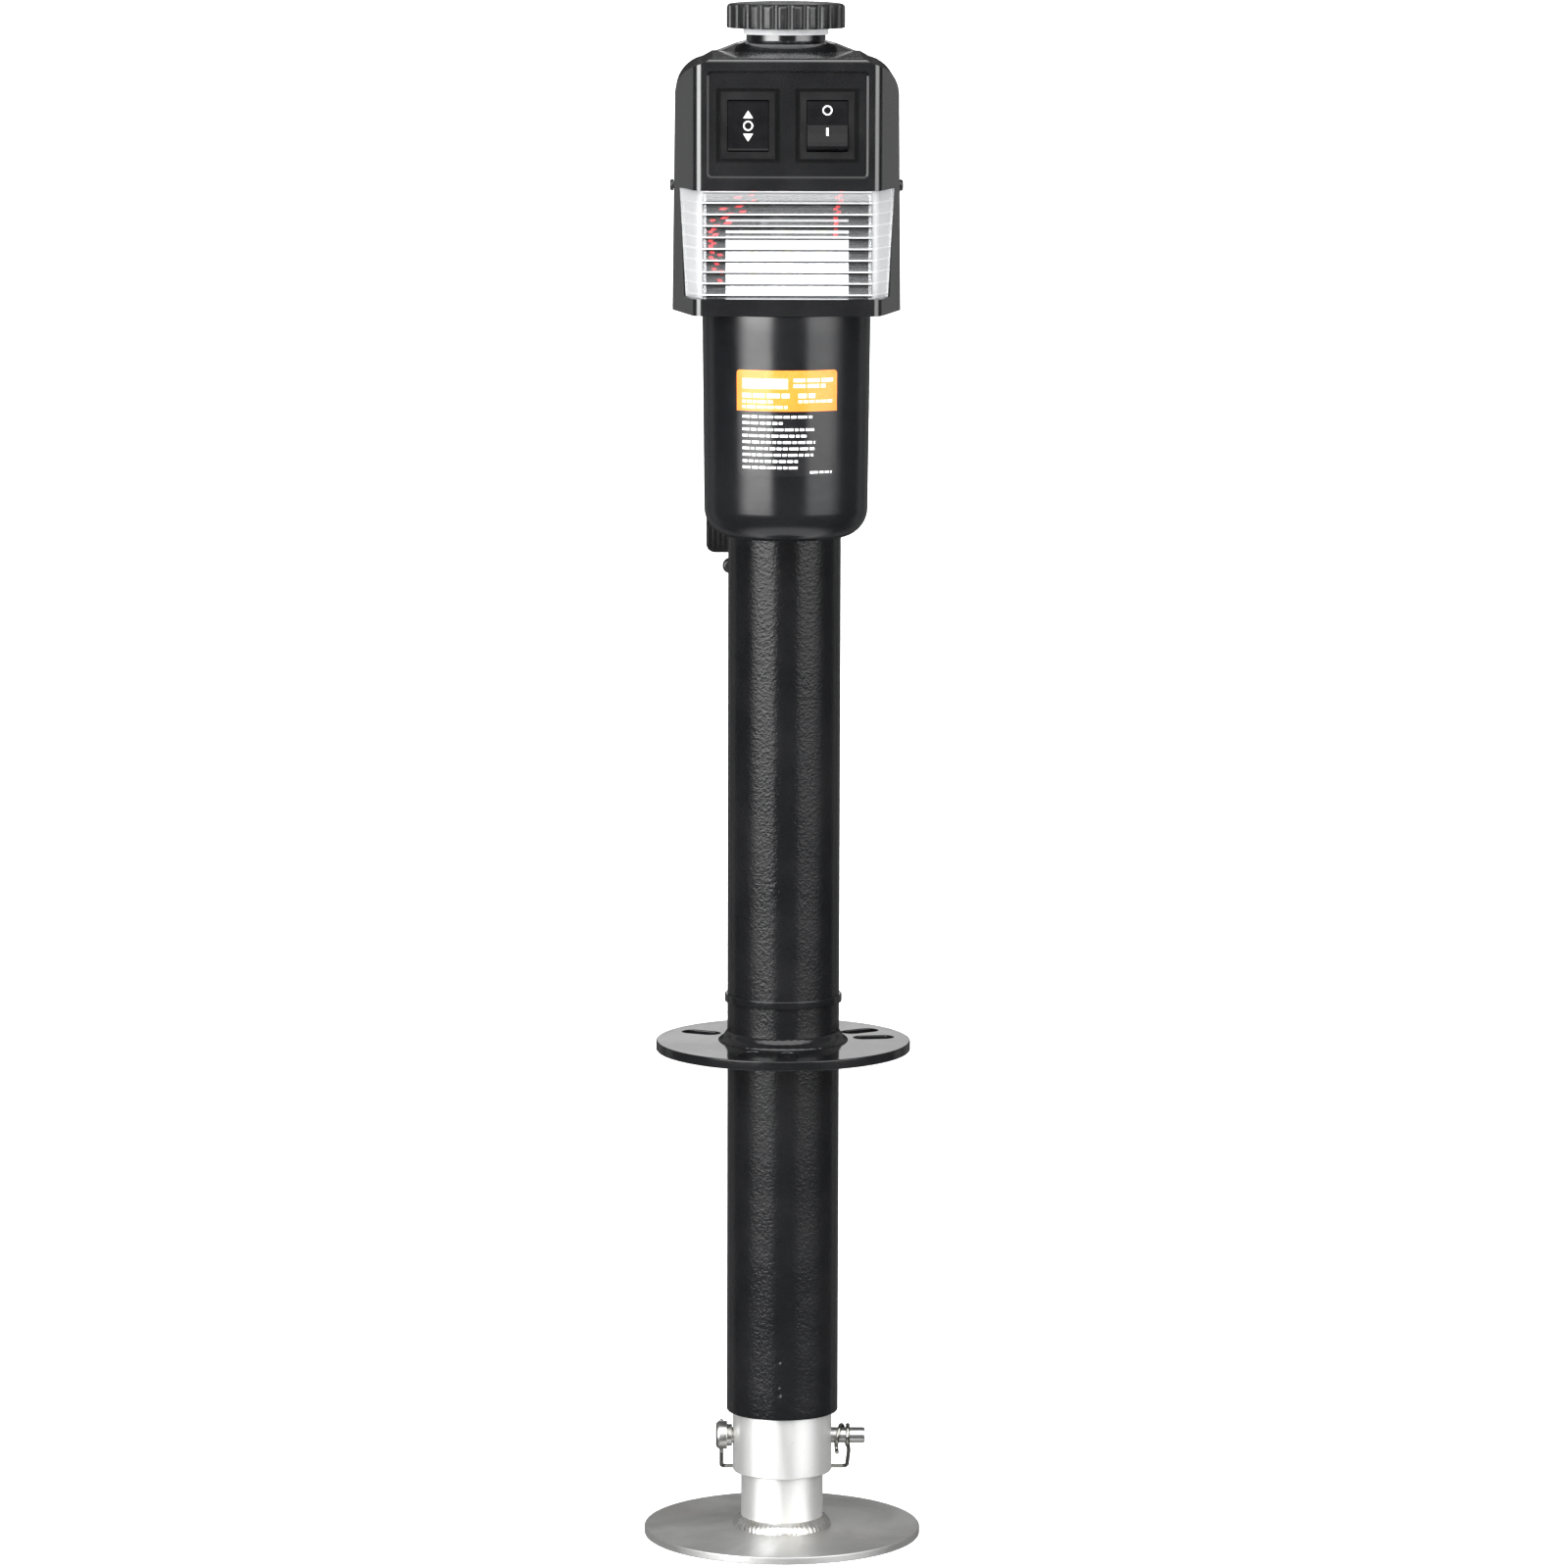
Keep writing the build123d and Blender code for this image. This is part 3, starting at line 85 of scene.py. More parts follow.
class Graph:
    """A node tree with short ways to add nodes."""

    def __init__(self, tree):
        self.tree = tree
        tree.nodes.clear()

    def put(self, node, inputs):
        """Links each input that is given a socket and sets the others."""
        for key, value in inputs.items():
            if isinstance(value, bpy.types.NodeSocket):
                self.tree.links.new(value, node.inputs[key])
            else:
                node.inputs[key].default_value = value

    def node(self, kind, inputs={}, **settings):
        made = self.tree.nodes.new("ShaderNode" + kind)
        for key, value in settings.items():
            setattr(made, key, value)
        self.put(made, inputs)
        return made

    def noise(self, scale, detail=3.0, rough=0.55, stretch=EVEN, warp=0.0):
        made = self.node("TexNoise", {"Scale": scale, "Detail": detail, "Roughness": rough,
                                      "Distortion": warp})
        place = self.node("TexCoord").outputs["Object"]
        mapping = self.node("Mapping", {"Scale": stretch, "Vector": place})
        self.put(made, {"Vector": mapping.outputs[0]})
        return made.outputs["Fac"]

    def remap(self, value, between, to=(0.0, 1.0)):
        """A smooth step: values within `between` are carried onto `to`."""
        return self.node("MapRange", {"From Min": between[0], "From Max": between[1],
                                      "To Min": to[0], "To Max": to[1], "Value": value},
                         interpolation_type="SMOOTHSTEP", clamp=True).outputs["Result"]

    def math(self, kind, a, b=0.0):
        return self.node("Math", {0: a, 1: b}, operation=kind).outputs[0]

    def add(self, a, b):
        return self.math("ADD", a, b)

    def sub(self, a, b):
        return self.math("SUBTRACT", a, b)

    def mul(self, a, b):
        return self.math("MULTIPLY", a, b)

    def mix(self, factor, a, b):
        a, b = [(*c, 1.0) if isinstance(c, tuple) else c for c in (a, b)]
        return self.node("Mix", {0: factor, 6: a, 7: b}, data_type="RGBA").outputs[2]

    def mix_shader(self, factor, a, b):
        return self.node("MixShader", {0: factor, 1: a, 2: b}).outputs[0]

    def bump(self, height, strength, distance, normal=None):
        made = self.node("Bump", {"Strength": strength, "Distance": distance, "Height": height})
        if normal is not None:
            self.put(made, {"Normal": normal})
        return made.outputs[0]


def new_material(name):
    material = bpy.data.materials.new("fin_" + name)
    material.use_nodes = True
    graph = Graph(material.node_tree)
    output = graph.node("OutputMaterial")
    bsdf = graph.node("BsdfPrincipled")
    graph.put(output, {0: bsdf.outputs[0]})
    return material, graph, bsdf, output


# ---------------------------------------------------------------- materials

MATS = {}


def finish(name, colours, rough, blotch, grain, key=None, metal=0.0, peel=None, peel_warp=0.0,
           coat=0.0, ior=1.5, stretch=EVEN, dirt=None, glow=0.0):
    """A finish with cloudy colour and roughness, a fine grain and, when asked, a coarser peel.

    blotch is the scale of the clouds; rough is the range of roughness.
    grain and peel are (noise scale, bump strength, bump distance).
    dirt is (colour, noise scale, noise value where it starts, amount).
    """
    material, g, bsdf, _ = new_material(name)
    cloud = g.remap(g.noise(blotch, detail=4.0, rough=0.6, stretch=stretch), MIDDLE)
    colour = g.mix(cloud, *colours)
    if dirt:
        stain, scale, start, amount = dirt
        mask = g.remap(g.noise(scale, detail=6.0, rough=0.65, stretch=stretch),
                       between=(start, start + 0.12))
        colour = g.mix(g.mul(mask, amount), colour, stain)
    fine = g.noise(blotch * 7, detail=5.0, rough=0.6, stretch=stretch)
    even_blend = g.add(g.mul(cloud, 0.5), g.mul(fine, 0.5))
    g.put(bsdf, {"Base Color": colour,
                 "Roughness": g.remap(even_blend, between=(0.2, 0.8), to=rough),
                 "Metallic": metal, "IOR": ior, "Coat Weight": coat, "Coat Roughness": 0.06})
    normal = None
    if peel:
        scale, strength, distance = peel
        normal = g.bump(g.noise(scale, detail=1.5, rough=0.5, warp=peel_warp),
                        strength, distance)
    scale, strength, distance = grain
    normal = g.bump(g.noise(scale, detail=2.0, rough=0.5, stretch=stretch),
                    strength, distance, normal)
    g.put(bsdf, {"Normal": normal})
    # glow is painted light: the surface gives out light though it is no lamp
    if glow:
        g.put(bsdf, {"Emission Color": WHITE, "Emission Strength": glow})
    MATS[key or name] = material


def zinc(name, colours, tint, rough, blotch, flat=False, metal=0.86):
    """Zinc plate: cloudy haze, a faint straw tint and, unless flat, streaks drawn along Z."""
    material, g, bsdf, _ = new_material(name)
    stretch = EVEN if flat else (1, 1, 0.18)
    cloud = g.remap(g.noise(blotch, detail=5.0, rough=0.6, stretch=stretch, warp=0.6),
                    between=(0.32, 0.68))
    colour = g.mix(cloud, *colours)
    tinted = g.remap(g.noise(blotch * 0.7 + 7, detail=3.0, rough=0.5), between=(0.5, 0.75))
    colour = g.mix(g.mul(tinted, 0.6), colour, tint)
    spots = g.remap(g.noise(420, detail=3.0, rough=0.6), between=(0.64, 0.74))
    spot_grey = (0.42, 0.41, 0.39)
    colour = g.mix(g.mul(spots, 0.35), colour, spot_grey)
    streak = g.noise(260, detail=3.0, rough=0.6, stretch=stretch)
    blend = g.add(g.mul(cloud, 0.55), g.mul(streak, 0.45))
    g.put(bsdf, {"Base Color": colour, "Metallic": metal,
                 "Roughness": g.remap(blend, between=(0.2, 0.8), to=rough)})
    waves = g.bump(g.noise(55, detail=2.0, rough=0.5, stretch=stretch),
                   strength=0.10, distance=0.0006)
    grain = g.bump(g.noise(900, detail=3.0, rough=0.6, stretch=stretch),
                   strength=0.22 if flat else 0.10, distance=0.0001, normal=waves)
    g.put(bsdf, {"Normal": grain})
    MATS[name] = material


def lens():
    """Clear plastic: prism lines across the front, each with a dark line of painted shade, and
    frosted wings; light passes behind it.
    """
    prism_bottom, prism_pitch = 0.6468, 0.0056
    wing_start = 0.0408  # distance from x = 0 at which the wings begin
    material, g, bsdf, output = new_material("lens_clear")
    place = g.node("TexCoord").outputs["Object"]
    x, _, z = g.node("SeparateXYZ", {0: place}).outputs
    cloud = g.remap(g.noise(60, detail=3.0, rough=0.5), MIDDLE)
    clear = g.mix(cloud, (0.97, 0.975, 0.98), (0.93, 0.94, 0.945))
    g.put(bsdf, {
        "Roughness": g.remap(g.noise(300, detail=3.0, rough=0.5), MIDDLE, to=(0.03, 0.09)),
        "Transmission Weight": 1.0,
        "IOR": 1.28,
        "Normal": g.bump(g.noise(240, detail=2.0, rough=0.5), strength=0.05, distance=0.0003)})
    wing = g.remap(g.math("ABSOLUTE", x), between=(wing_start, 0.0420))

    # a sawtooth up each prism, with a slightly uneven edge
    saw = g.math("FRACT", g.math("DIVIDE", g.sub(z, prism_bottom), prism_pitch))
    wobble_range = 0.10
    wobble = g.mul(g.noise(500, detail=3.0, rough=0.6), wobble_range)
    saw = g.add(saw, g.sub(wobble, wobble_range / 2))
    # painted shade: a dark line near the top of each prism darkens the clear colour, standing
    # in for the prisms' dark refraction
    dark = g.mul(g.remap(saw, between=(0.80, 0.87)), g.sub(1.0, wing))
    g.put(bsdf, {"Base Color": g.mix(dark, clear, (0.05, 0.05, 0.055))})

    # how milky the plastic is: a line and a fading haze on each prism, a band at the top
    line = g.remap(saw, between=(0.07, 0.13), to=(0.62, 0.0))
    held = g.math("MINIMUM", g.math("MAXIMUM", saw, 0.0), 1.0)
    fade = g.math("POWER", g.sub(1.0, held), 2.0)
    haze_gain, haze_floor = 0.075, 0.012
    haze = g.add(g.mul(fade, haze_gain), haze_floor)
    top = g.remap(z, between=(0.6920, 0.6935), to=(0.0, 0.17))
    front = g.math("MAXIMUM", g.math("MAXIMUM", line, haze), top)
    line_on_wing, wing_milk, edge_milk = 0.12, 0.27, 0.25
    side = g.add(wing_milk, g.mul(line, line_on_wing))
    edge = g.remap(g.math("ABSOLUTE", x), between=(wing_start, 0.0450), to=(1.0, 0.0))
    side = g.add(side, g.mul(edge, edge_milk))
    milk = g.add(g.mul(side, wing), g.mul(front, g.sub(1.0, wing)))

    diffuse = g.node("BsdfDiffuse", {"Color": (0.86, 0.87, 0.88, 1)}).outputs[0]
    translucent = g.node("BsdfTranslucent", {"Color": (0.8, 0.81, 0.82, 1)}).outputs[0]
    translucent_share = 0.25
    frosted = g.mix_shader(translucent_share, diffuse, translucent)
    seen = g.mix_shader(milk, bsdf.outputs[0], frosted)
    # shadow and diffuse rays go straight through
    ray = g.node("LightPath").outputs
    through = g.node("BsdfTransparent", {0: (0.9, 0.91, 0.92, 1)}).outputs[0]
    passes = g.math("MAXIMUM", ray["Is Shadow Ray"], ray["Is Diffuse Ray"])
    g.put(output, {0: g.mix_shader(passes, seen, through)})
    MATS["lens_clear"] = material


# black paints and plastics
PAINT_BLACK = ((0.0045, 0.0047, 0.0052), (0.0075, 0.0076, 0.0082))
finish("tube_paint", colours=PAINT_BLACK, rough=(0.16, 0.24), blotch=22,
       peel=(620, 0.28, 0.00045), peel_warp=0.6, grain=(2600, 0.08, 0.0001), ior=1.36)
finish("plate_paint", colours=PAINT_BLACK, rough=(0.07, 0.12), blotch=22,
       peel=(420, 0.07, 0.0003), peel_warp=0.6, grain=(2600, 0.06, 0.0001), ior=1.46)
finish("cast_paint", colours=((0.016, 0.016, 0.017), (0.028, 0.028, 0.03)), rough=(0.38, 0.55),
       blotch=30, peel=(380, 0.4, 0.0004), grain=(1800, 0.2, 0.0001))
finish("gloss_cover", colours=((0.0045, 0.0048, 0.0058), (0.007, 0.0074, 0.0085)),
       rough=(0.17, 0.25), blotch=12, peel=(90, 0.05, 0.0008), grain=(900, 0.03, 0.0001),
       ior=1.56)
finish("cover_plastic", colours=((0.0045, 0.0047, 0.0052), (0.007, 0.0072, 0.0078)),
       rough=(0.17, 0.25), blotch=25, peel=(140, 0.03, 0.0003), grain=(3200, 0.10, 0.00005),
       coat=1.0)
finish("cap_plastic", colours=((0.0065, 0.0066, 0.0072), (0.0105, 0.0106, 0.0112)),
       rough=(0.26, 0.42), blotch=60, peel=(300, 0.1, 0.0003), grain=(2600, 0.2, 0.00008))
finish("switch_plastic", colours=((0.0045, 0.0045, 0.005), (0.0065, 0.0065, 0.007)),
       rough=(0.36, 0.46), blotch=60, grain=(4200, 0.25, 0.00006), ior=1.32)
finish("rocker_plastic", colours=((0.004, 0.004, 0.0045), (0.006, 0.006, 0.0066)),
       rough=(0.26, 0.34), blotch=60, grain=(4200, 0.12, 0.00005), ior=1.24)
finish("screw_black", colours=((0.012, 0.012, 0.013), (0.03, 0.03, 0.031)), rough=(0.2, 0.36),
       metal=0.3, blotch=150, grain=(2600, 0.15, 0.00006))
finish("cable_black", colours=((0.015, 0.015, 0.015), (0.025, 0.025, 0.025)),
       rough=(0.45, 0.6), blotch=80, grain=(1600, 0.2, 0.0001))

# zinc plate
zinc("zinc", colours=((0.73, 0.735, 0.73), (0.61, 0.61, 0.60)), tint=(0.66, 0.64, 0.59),
     rough=(0.36, 0.5), blotch=9.0, metal=0.8)
zinc("zinc_bright", colours=((0.50, 0.505, 0.50), (0.32, 0.32, 0.30)), tint=(0.42, 0.39, 0.33),
     rough=(0.30, 0.46), blotch=90.0, flat=True, metal=1.0)
zinc("zinc_dull", colours=((0.52, 0.52, 0.515), (0.37, 0.37, 0.365)), tint=(0.48, 0.465, 0.43),
     rough=(0.34, 0.5), blotch=14.0, flat=True)
zinc("zinc_weld", colours=((0.56, 0.56, 0.56), (0.38, 0.375, 0.36)), tint=(0.46, 0.43, 0.37),
     rough=(0.2, 0.42), blotch=120.0)

# bare metals
finish("spring_wire", colours=((0.36, 0.36, 0.345), (0.22, 0.215, 0.19)), rough=(0.14, 0.28),
       metal=1.0, blotch=260, grain=(1800, 0.2, 0.0001),
       dirt=((0.3, 0.28, 0.22), 500, 0.56, 0.5))
finish("steel", colours=((0.50, 0.50, 0.52), (0.38, 0.38, 0.40)), rough=(0.25, 0.4),
       metal=1.0, blotch=60, grain=(1200, 0.15, 0.0001), stretch=(1, 1, 6))
finish("hard_steel", colours=((0.66, 0.66, 0.68), (0.55, 0.55, 0.57)), rough=(0.14, 0.24),
       metal=1.0, blotch=80, grain=(2400, 0.08, 0.00005), stretch=(1, 1, 8))
finish("gear_steel", colours=((0.45, 0.44, 0.43), (0.30, 0.29, 0.27)), rough=(0.3, 0.46),
       metal=1.0, blotch=120, grain=(1500, 0.2, 0.0001),
       dirt=((0.16, 0.12, 0.06), 90, 0.5, 0.6))
finish("bronze", colours=((0.66, 0.48, 0.25), (0.5, 0.34, 0.17)), rough=(0.28, 0.42),
       metal=1.0, blotch=120, grain=(1800, 0.2, 0.0001))
finish("copper", colours=((0.8, 0.45, 0.28), (0.6, 0.3, 0.17)), rough=(0.2, 0.36),
       metal=1.0, blotch=160, grain=(1400, 0.2, 0.0001), stretch=(1, 1, 0.2))
finish("laminations", colours=((0.4, 0.4, 0.42), (0.22, 0.21, 0.2)), rough=(0.35, 0.5),
       metal=1.0, blotch=40, grain=(1600, 0.5, 0.0002), stretch=(0.05, 0.05, 1))

# other motor parts
finish("magnet", colours=((0.10, 0.10, 0.10), (0.15, 0.15, 0.15)), rough=(0.55, 0.7),
       blotch=160, grain=(900, 0.3, 0.0002))
finish("carbon", colours=((0.03, 0.03, 0.03), (0.06, 0.06, 0.06)), rough=(0.5, 0.65),
       blotch=200, grain=(1200, 0.3, 0.0001))
finish("card", colours=((0.34, 0.22, 0.11), (0.45, 0.30, 0.16)), rough=(0.6, 0.75),
       blotch=200, grain=(900, 0.3, 0.0001))

# lamp, wire and seal
# the reflector and the board glow a little: painted light that keeps them bright behind the
# lens, though neither is a lamp
finish("reflector_white", colours=((0.86, 0.87, 0.88), (0.93, 0.93, 0.93)), rough=(0.2, 0.32),
       blotch=40, grain=(1500, 0.1, 0.0001), coat=0.3, glow=0.22)
finish("board_white", colours=((0.72, 0.73, 0.74), (0.84, 0.84, 0.84)), rough=(0.35, 0.5),
       blotch=90, grain=(1500, 0.1, 0.0001), glow=0.22)
finish("led", colours=((0.90, 0.86, 0.66), (0.94, 0.91, 0.76)), rough=(0.25, 0.4),
       blotch=300, grain=(1500, 0.1, 0.0001))
finish("wire_red", colours=((0.62, 0.012, 0.016), (0.75, 0.02, 0.03)), rough=(0.3, 0.42),
       blotch=200, grain=(1500, 0.1, 0.0001))
finish("seal_white", colours=((0.80, 0.81, 0.82), (0.70, 0.71, 0.72)), rough=(0.35, 0.5),
       blotch=150, grain=(1500, 0.15, 0.0001))

# label and print
finish("label_dark", key="label", colours=((0.006, 0.006, 0.007), (0.010, 0.010, 0.011)),
       rough=(0.16, 0.24), blotch=60, peel=(160, 0.05, 0.0003), grain=(2000, 0.05, 0.00005),
       coat=0.3)
finish("label_orange", colours=((0.86, 0.20, 0.020), (0.90, 0.225, 0.028)), rough=(0.2, 0.3),
       blotch=60, peel=(160, 0.05, 0.0003), grain=(2000, 0.05, 0.00005), coat=0.3)
finish("print_white", colours=((0.82, 0.83, 0.83), (0.9, 0.9, 0.9)), rough=(0.3, 0.42),
       blotch=400, grain=(2600, 0.1, 0.00005))
finish("print_tint", colours=((0.93, 0.86, 0.80), (0.95, 0.90, 0.86)), rough=(0.3, 0.42),
       blotch=400, grain=(2600, 0.1, 0.00005))
lens()

# ---------------------------------------------------------------- meshes


def new_mesh(name, points, faces):
    mesh = bpy.data.meshes.new(name)
    mesh.from_pydata([(x * MM, y * MM, z * MM) for x, y, z in points], [], faces)
    return mesh


def tidy(mesh, weld):
    """Welds doubled points when asked, drops loose ones and turns the faces outwards."""
    bm = bmesh.new()
    bm.from_mesh(mesh)
    if weld:
        bmesh.ops.remove_doubles(bm, verts=bm.verts, dist=2e-7)
        bmesh.ops.dissolve_degenerate(bm, edges=bm.edges, dist=1e-8)
    loose = [v for v in bm.verts if not v.link_faces]
    bmesh.ops.delete(bm, geom=loose, context="VERTS")
    bmesh.ops.recalc_face_normals(bm, faces=bm.faces)
    bm.to_mesh(mesh)
    bm.free()


def add_object(name, data):
    piece = bpy.data.objects.new(name, data)
    scene.collection.objects.link(piece)
    return piece


def shade(piece, angle):
    mesh = piece.data
    mesh.polygons.foreach_set("use_smooth", [True] * len(mesh.polygons))
    mesh.set_sharp_from_angle(angle=math.radians(angle))
    modifier = piece.modifiers.new("shade", "WEIGHTED_NORMAL")
    modifier.keep_sharp = True
    return modifier


def make(name, points, faces, materials, body, replaces=None, angle=32.0,
         face_materials=None, weld=True):
    """A mesh piece riding on a CAD body. Edges sharper than `angle` degrees stay hard."""
    mesh = new_mesh(name, points, faces)
    for key in materials:
        mesh.materials.append(MATS[key])
    if face_materials:
        mesh.polygons.foreach_set("material_index", face_materials)
    tidy(mesh, weld)
    piece = add_object(name, mesh)
    shade(piece, angle).weight = 60
    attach(piece, body)
    if replaces:
        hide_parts(replaces)
    return piece


def cut(piece, cutters):
    """Takes the cutters out of a piece and removes them."""
    piece.modifiers.clear()
    for tool in cutters:
        modifier = piece.modifiers.new("cut", "BOOLEAN")
        modifier.operation = "DIFFERENCE"
        modifier.solver = "EXACT"
        modifier.object = tool
    bpy.context.view_layer.update()
    depsgraph = bpy.context.evaluated_depsgraph_get()
    mesh = bpy.data.meshes.new_from_object(piece.evaluated_get(depsgraph),
                                           preserve_all_data_layers=True, depsgraph=depsgraph)
    piece.modifiers.clear()
    uncut = piece.data
    piece.data = mesh
    bpy.data.meshes.remove(uncut)
    shade(piece, 32)
    for tool in cutters:
        bpy.data.objects.remove(tool)


def cutter(name, points, faces):
    mesh = new_mesh(name, points, faces)
    tidy(mesh, weld=False)
    return add_object(name, mesh)


def bore(radius, centre, start=-40, end=40, axis="x", sides=64):
    """A cylinder cutter along an axis."""
    points, faces = lathe_data([(radius, start), (radius, end)], sides, centre, axis,
                               closed=False)
    faces.append(tuple(2 * i for i in range(sides)))
    faces.append(tuple(2 * i + 1 for i in range(sides))[::-1])
    return cutter("bore", points, faces)


def block(x_range, y_range, z_range):
    """A box cutter."""
    points = [(x, y, z) for x in x_range for y in y_range for z in z_range]
    faces = [(0, 1, 3, 2), (4, 6, 7, 5), (0, 4, 5, 1), (2, 3, 7, 6), (0, 2, 6, 4), (1, 5, 7, 3)]
    return cutter("block", points, faces)


def steps(start, stop, step):
    """Evenly spaced values from start to stop, about `step` apart."""
    count = max(1, int(round(abs(stop - start) / step)))
    return [start + (stop - start) * i / count for i in range(count + 1)]


def round_corners(corners, segments):
    """A closed 2-D outline; a corner with a third value is rounded to that radius."""
    outline = []
    for i, corner in enumerate(corners):
        radius = corner[2] if len(corner) > 2 else 0
        here = Vector(corner[:2])
        if radius <= 0:
            outline.append((here.x, here.y))
            continue
        back = Vector(corners[i - 1][:2]) - here
        ahead = Vector(corners[(i + 1) % len(corners)][:2]) - here
        back.normalize()
        ahead.normalize()
        half = back.angle(ahead) / 2
        reach = radius / math.tan(half)
        centre = here + (back + ahead).normalized() * (radius / math.sin(half))
        first = here + back * reach - centre
        last = here + ahead * reach - centre
        start = math.atan2(first.y, first.x)
        end = math.atan2(last.y, last.x)
        sweep = (end - start + math.pi) % TAU - math.pi
        for k in range(segments + 1):
            a = start + sweep * k / segments
            outline.append((centre.x + radius * math.cos(a), centre.y + radius * math.sin(a)))
    return outline


def lathe_data(outline, n=192, centre=(0, 0), axis="z", shape=None, angles=None, closed=True):
    """Turns an outline of (radius, place along the axis) points about an axis.

    shape(angle, radius, place) may move each point.
    """
    angles = angles or [TAU * i / n for i in range(n)]
    n, size = len(angles), len(outline)
    points, faces = [], []
    for a in angles:
        for radius, along in outline:
            if shape:
                radius, along = shape(a, radius, along)
            u = centre[0] + radius * math.cos(a)
            v = centre[1] + radius * math.sin(a)
            points.append((u, v, along) if axis == "z" else (along, u, v))
    for i in range(n):
        j = (i + 1) % n
        for k in range(size if closed else size - 1):
            m = (k + 1) % size
            faces.append((i * size + k, j * size + k, j * size + m, i * size + m))
    return points, faces


def lathe(name, outline, material, body, replaces, slot=None, angle=32.0, **turning):
    points, faces = lathe_data(outline, **turning)
    return make(name, points, faces, [material], body, replaces, angle)


def inside(point, polygon):
    result = False
    for i, a in enumerate(polygon):
        b = polygon[i - 1]
        if (a.y > point.y) != (b.y > point.y) and \
                point.x < (b.x - a.x) * (point.y - a.y) / (b.y - a.y) + a.x:
            result = not result
    return result


def cap_faces(points, loops):
    """Triangles that fill the first loop of point indices, leaving the others open."""
    ids = [i for loop in loops for i in loop]
    flat = [Vector(points[i][:2]) for i in ids]
    edges, polygons, start = [], [], 0
    for loop in loops:
        size = len(loop)
        edges += [(start + k, start + (k + 1) % size) for k in range(size)]
        polygons.append(flat[start:start + size])
        start += size
    _, _, triangles, origins, _, _ = delaunay_2d_cdt(flat, edges, [], 0, 1e-7)
    faces = []
    for triangle in triangles:
        source = [origins[k][0] for k in triangle]
        middle = sum((flat[k] for k in source), Vector((0, 0))) / 3
        if inside(middle, polygons[0]) and not any(inside(middle, p) for p in polygons[1:]):
            faces.append(tuple(ids[k] for k in source))
    return faces


def plate(name, outer, holes, bottom, top, bevel, material, body, replaces):
    """A flat plate with rounded edges. Each loop(inset) gives its outline set back by inset."""
    segments = 4
    quarter = [math.pi / 2 * k / segments for k in range(segments + 1)]
    arc = [(bevel * (1 - math.cos(a)), bevel * (1 - math.sin(a))) for a in quarter]
    levels = [(bottom + rise, inset) for rise, inset in arc]
    levels += [(top - rise, inset) for rise, inset in reversed(arc)]
    points, faces, lower, upper = [], [], [], []
    for loop in [outer] + holes:
        base = len(points)
        rings = [[(x, y, z) for x, y in loop(inset)] for z, inset in levels]
        n = len(rings[0])
        for ring in rings:
            points += ring
        faces += tube_faces(len(rings), n, base)
        lower.append(list(range(base, base + n)))
        upper.append(list(range(len(points) - n, len(points))))
    faces += cap_faces(points, lower) + cap_faces(points, upper)
    make(name, points, faces, [material], body, replaces)


def tube_faces(rings, n, base=0):
    """Quads between rings of n points, counted from base."""
    faces = []
    for i in range(rings - 1):
        here, ahead = base + i * n, base + (i + 1) * n
        for k in range(n):
            m = (k + 1) % n
            faces.append((here + k, here + m, ahead + m, ahead + k))
    return faces


def ring_loop(radius, n=256, hole=False):
    def loop(inset):
        r = radius + inset if hole else radius - inset
        return [(r * math.cos(TAU * i / n), r * math.sin(TAU * i / n)) for i in range(n)]
    return loop


def slot_loop(centre_radius, length, width, degrees, n=14):
    """A round-ended slot lying along a radius, turned to an angle about Z."""
    def loop(inset):
        r, half = width / 2 + inset, (length - width) / 2
        points = []
        for start, middle in ((-math.pi / 2, centre_radius + half),
                              (math.pi / 2, centre_radius - half)):
            for k in range(n + 1):
                q = start + math.pi * k / n
                points.append((middle + r * math.cos(q), r * math.sin(q)))
        a = math.radians(degrees)
        return [(x * math.cos(a) - y * math.sin(a), x * math.sin(a) + y * math.cos(a))
                for x, y in points]
    return loop


def round_path(corners, radius, segments=8):
    """An open 3-D path with its corners rounded."""
    path = [Vector(corners[0])]
    for i in range(1, len(corners) - 1):
        corner = Vector(corners[i])
        back = Vector(corners[i - 1]) - corner
        ahead = Vector(corners[i + 1]) - corner
        room = back.length, ahead.length
        back.normalize()
        ahead.normalize()
        angle = back.angle(ahead)
        if angle > math.pi - 0.02:  # nearly straight
            path.append(corner)
            continue
        reach = min(radius / math.tan(angle / 2), room[0] * 0.48, room[1] * 0.48)
        start, end = corner + back * reach, corner + ahead * reach
        for k in range(segments + 1):
            s = k / segments
            path.append(start * (1 - s) ** 2 + corner * 2 * s * (1 - s) + end * s ** 2)
    path.append(Vector(corners[-1]))
    return path


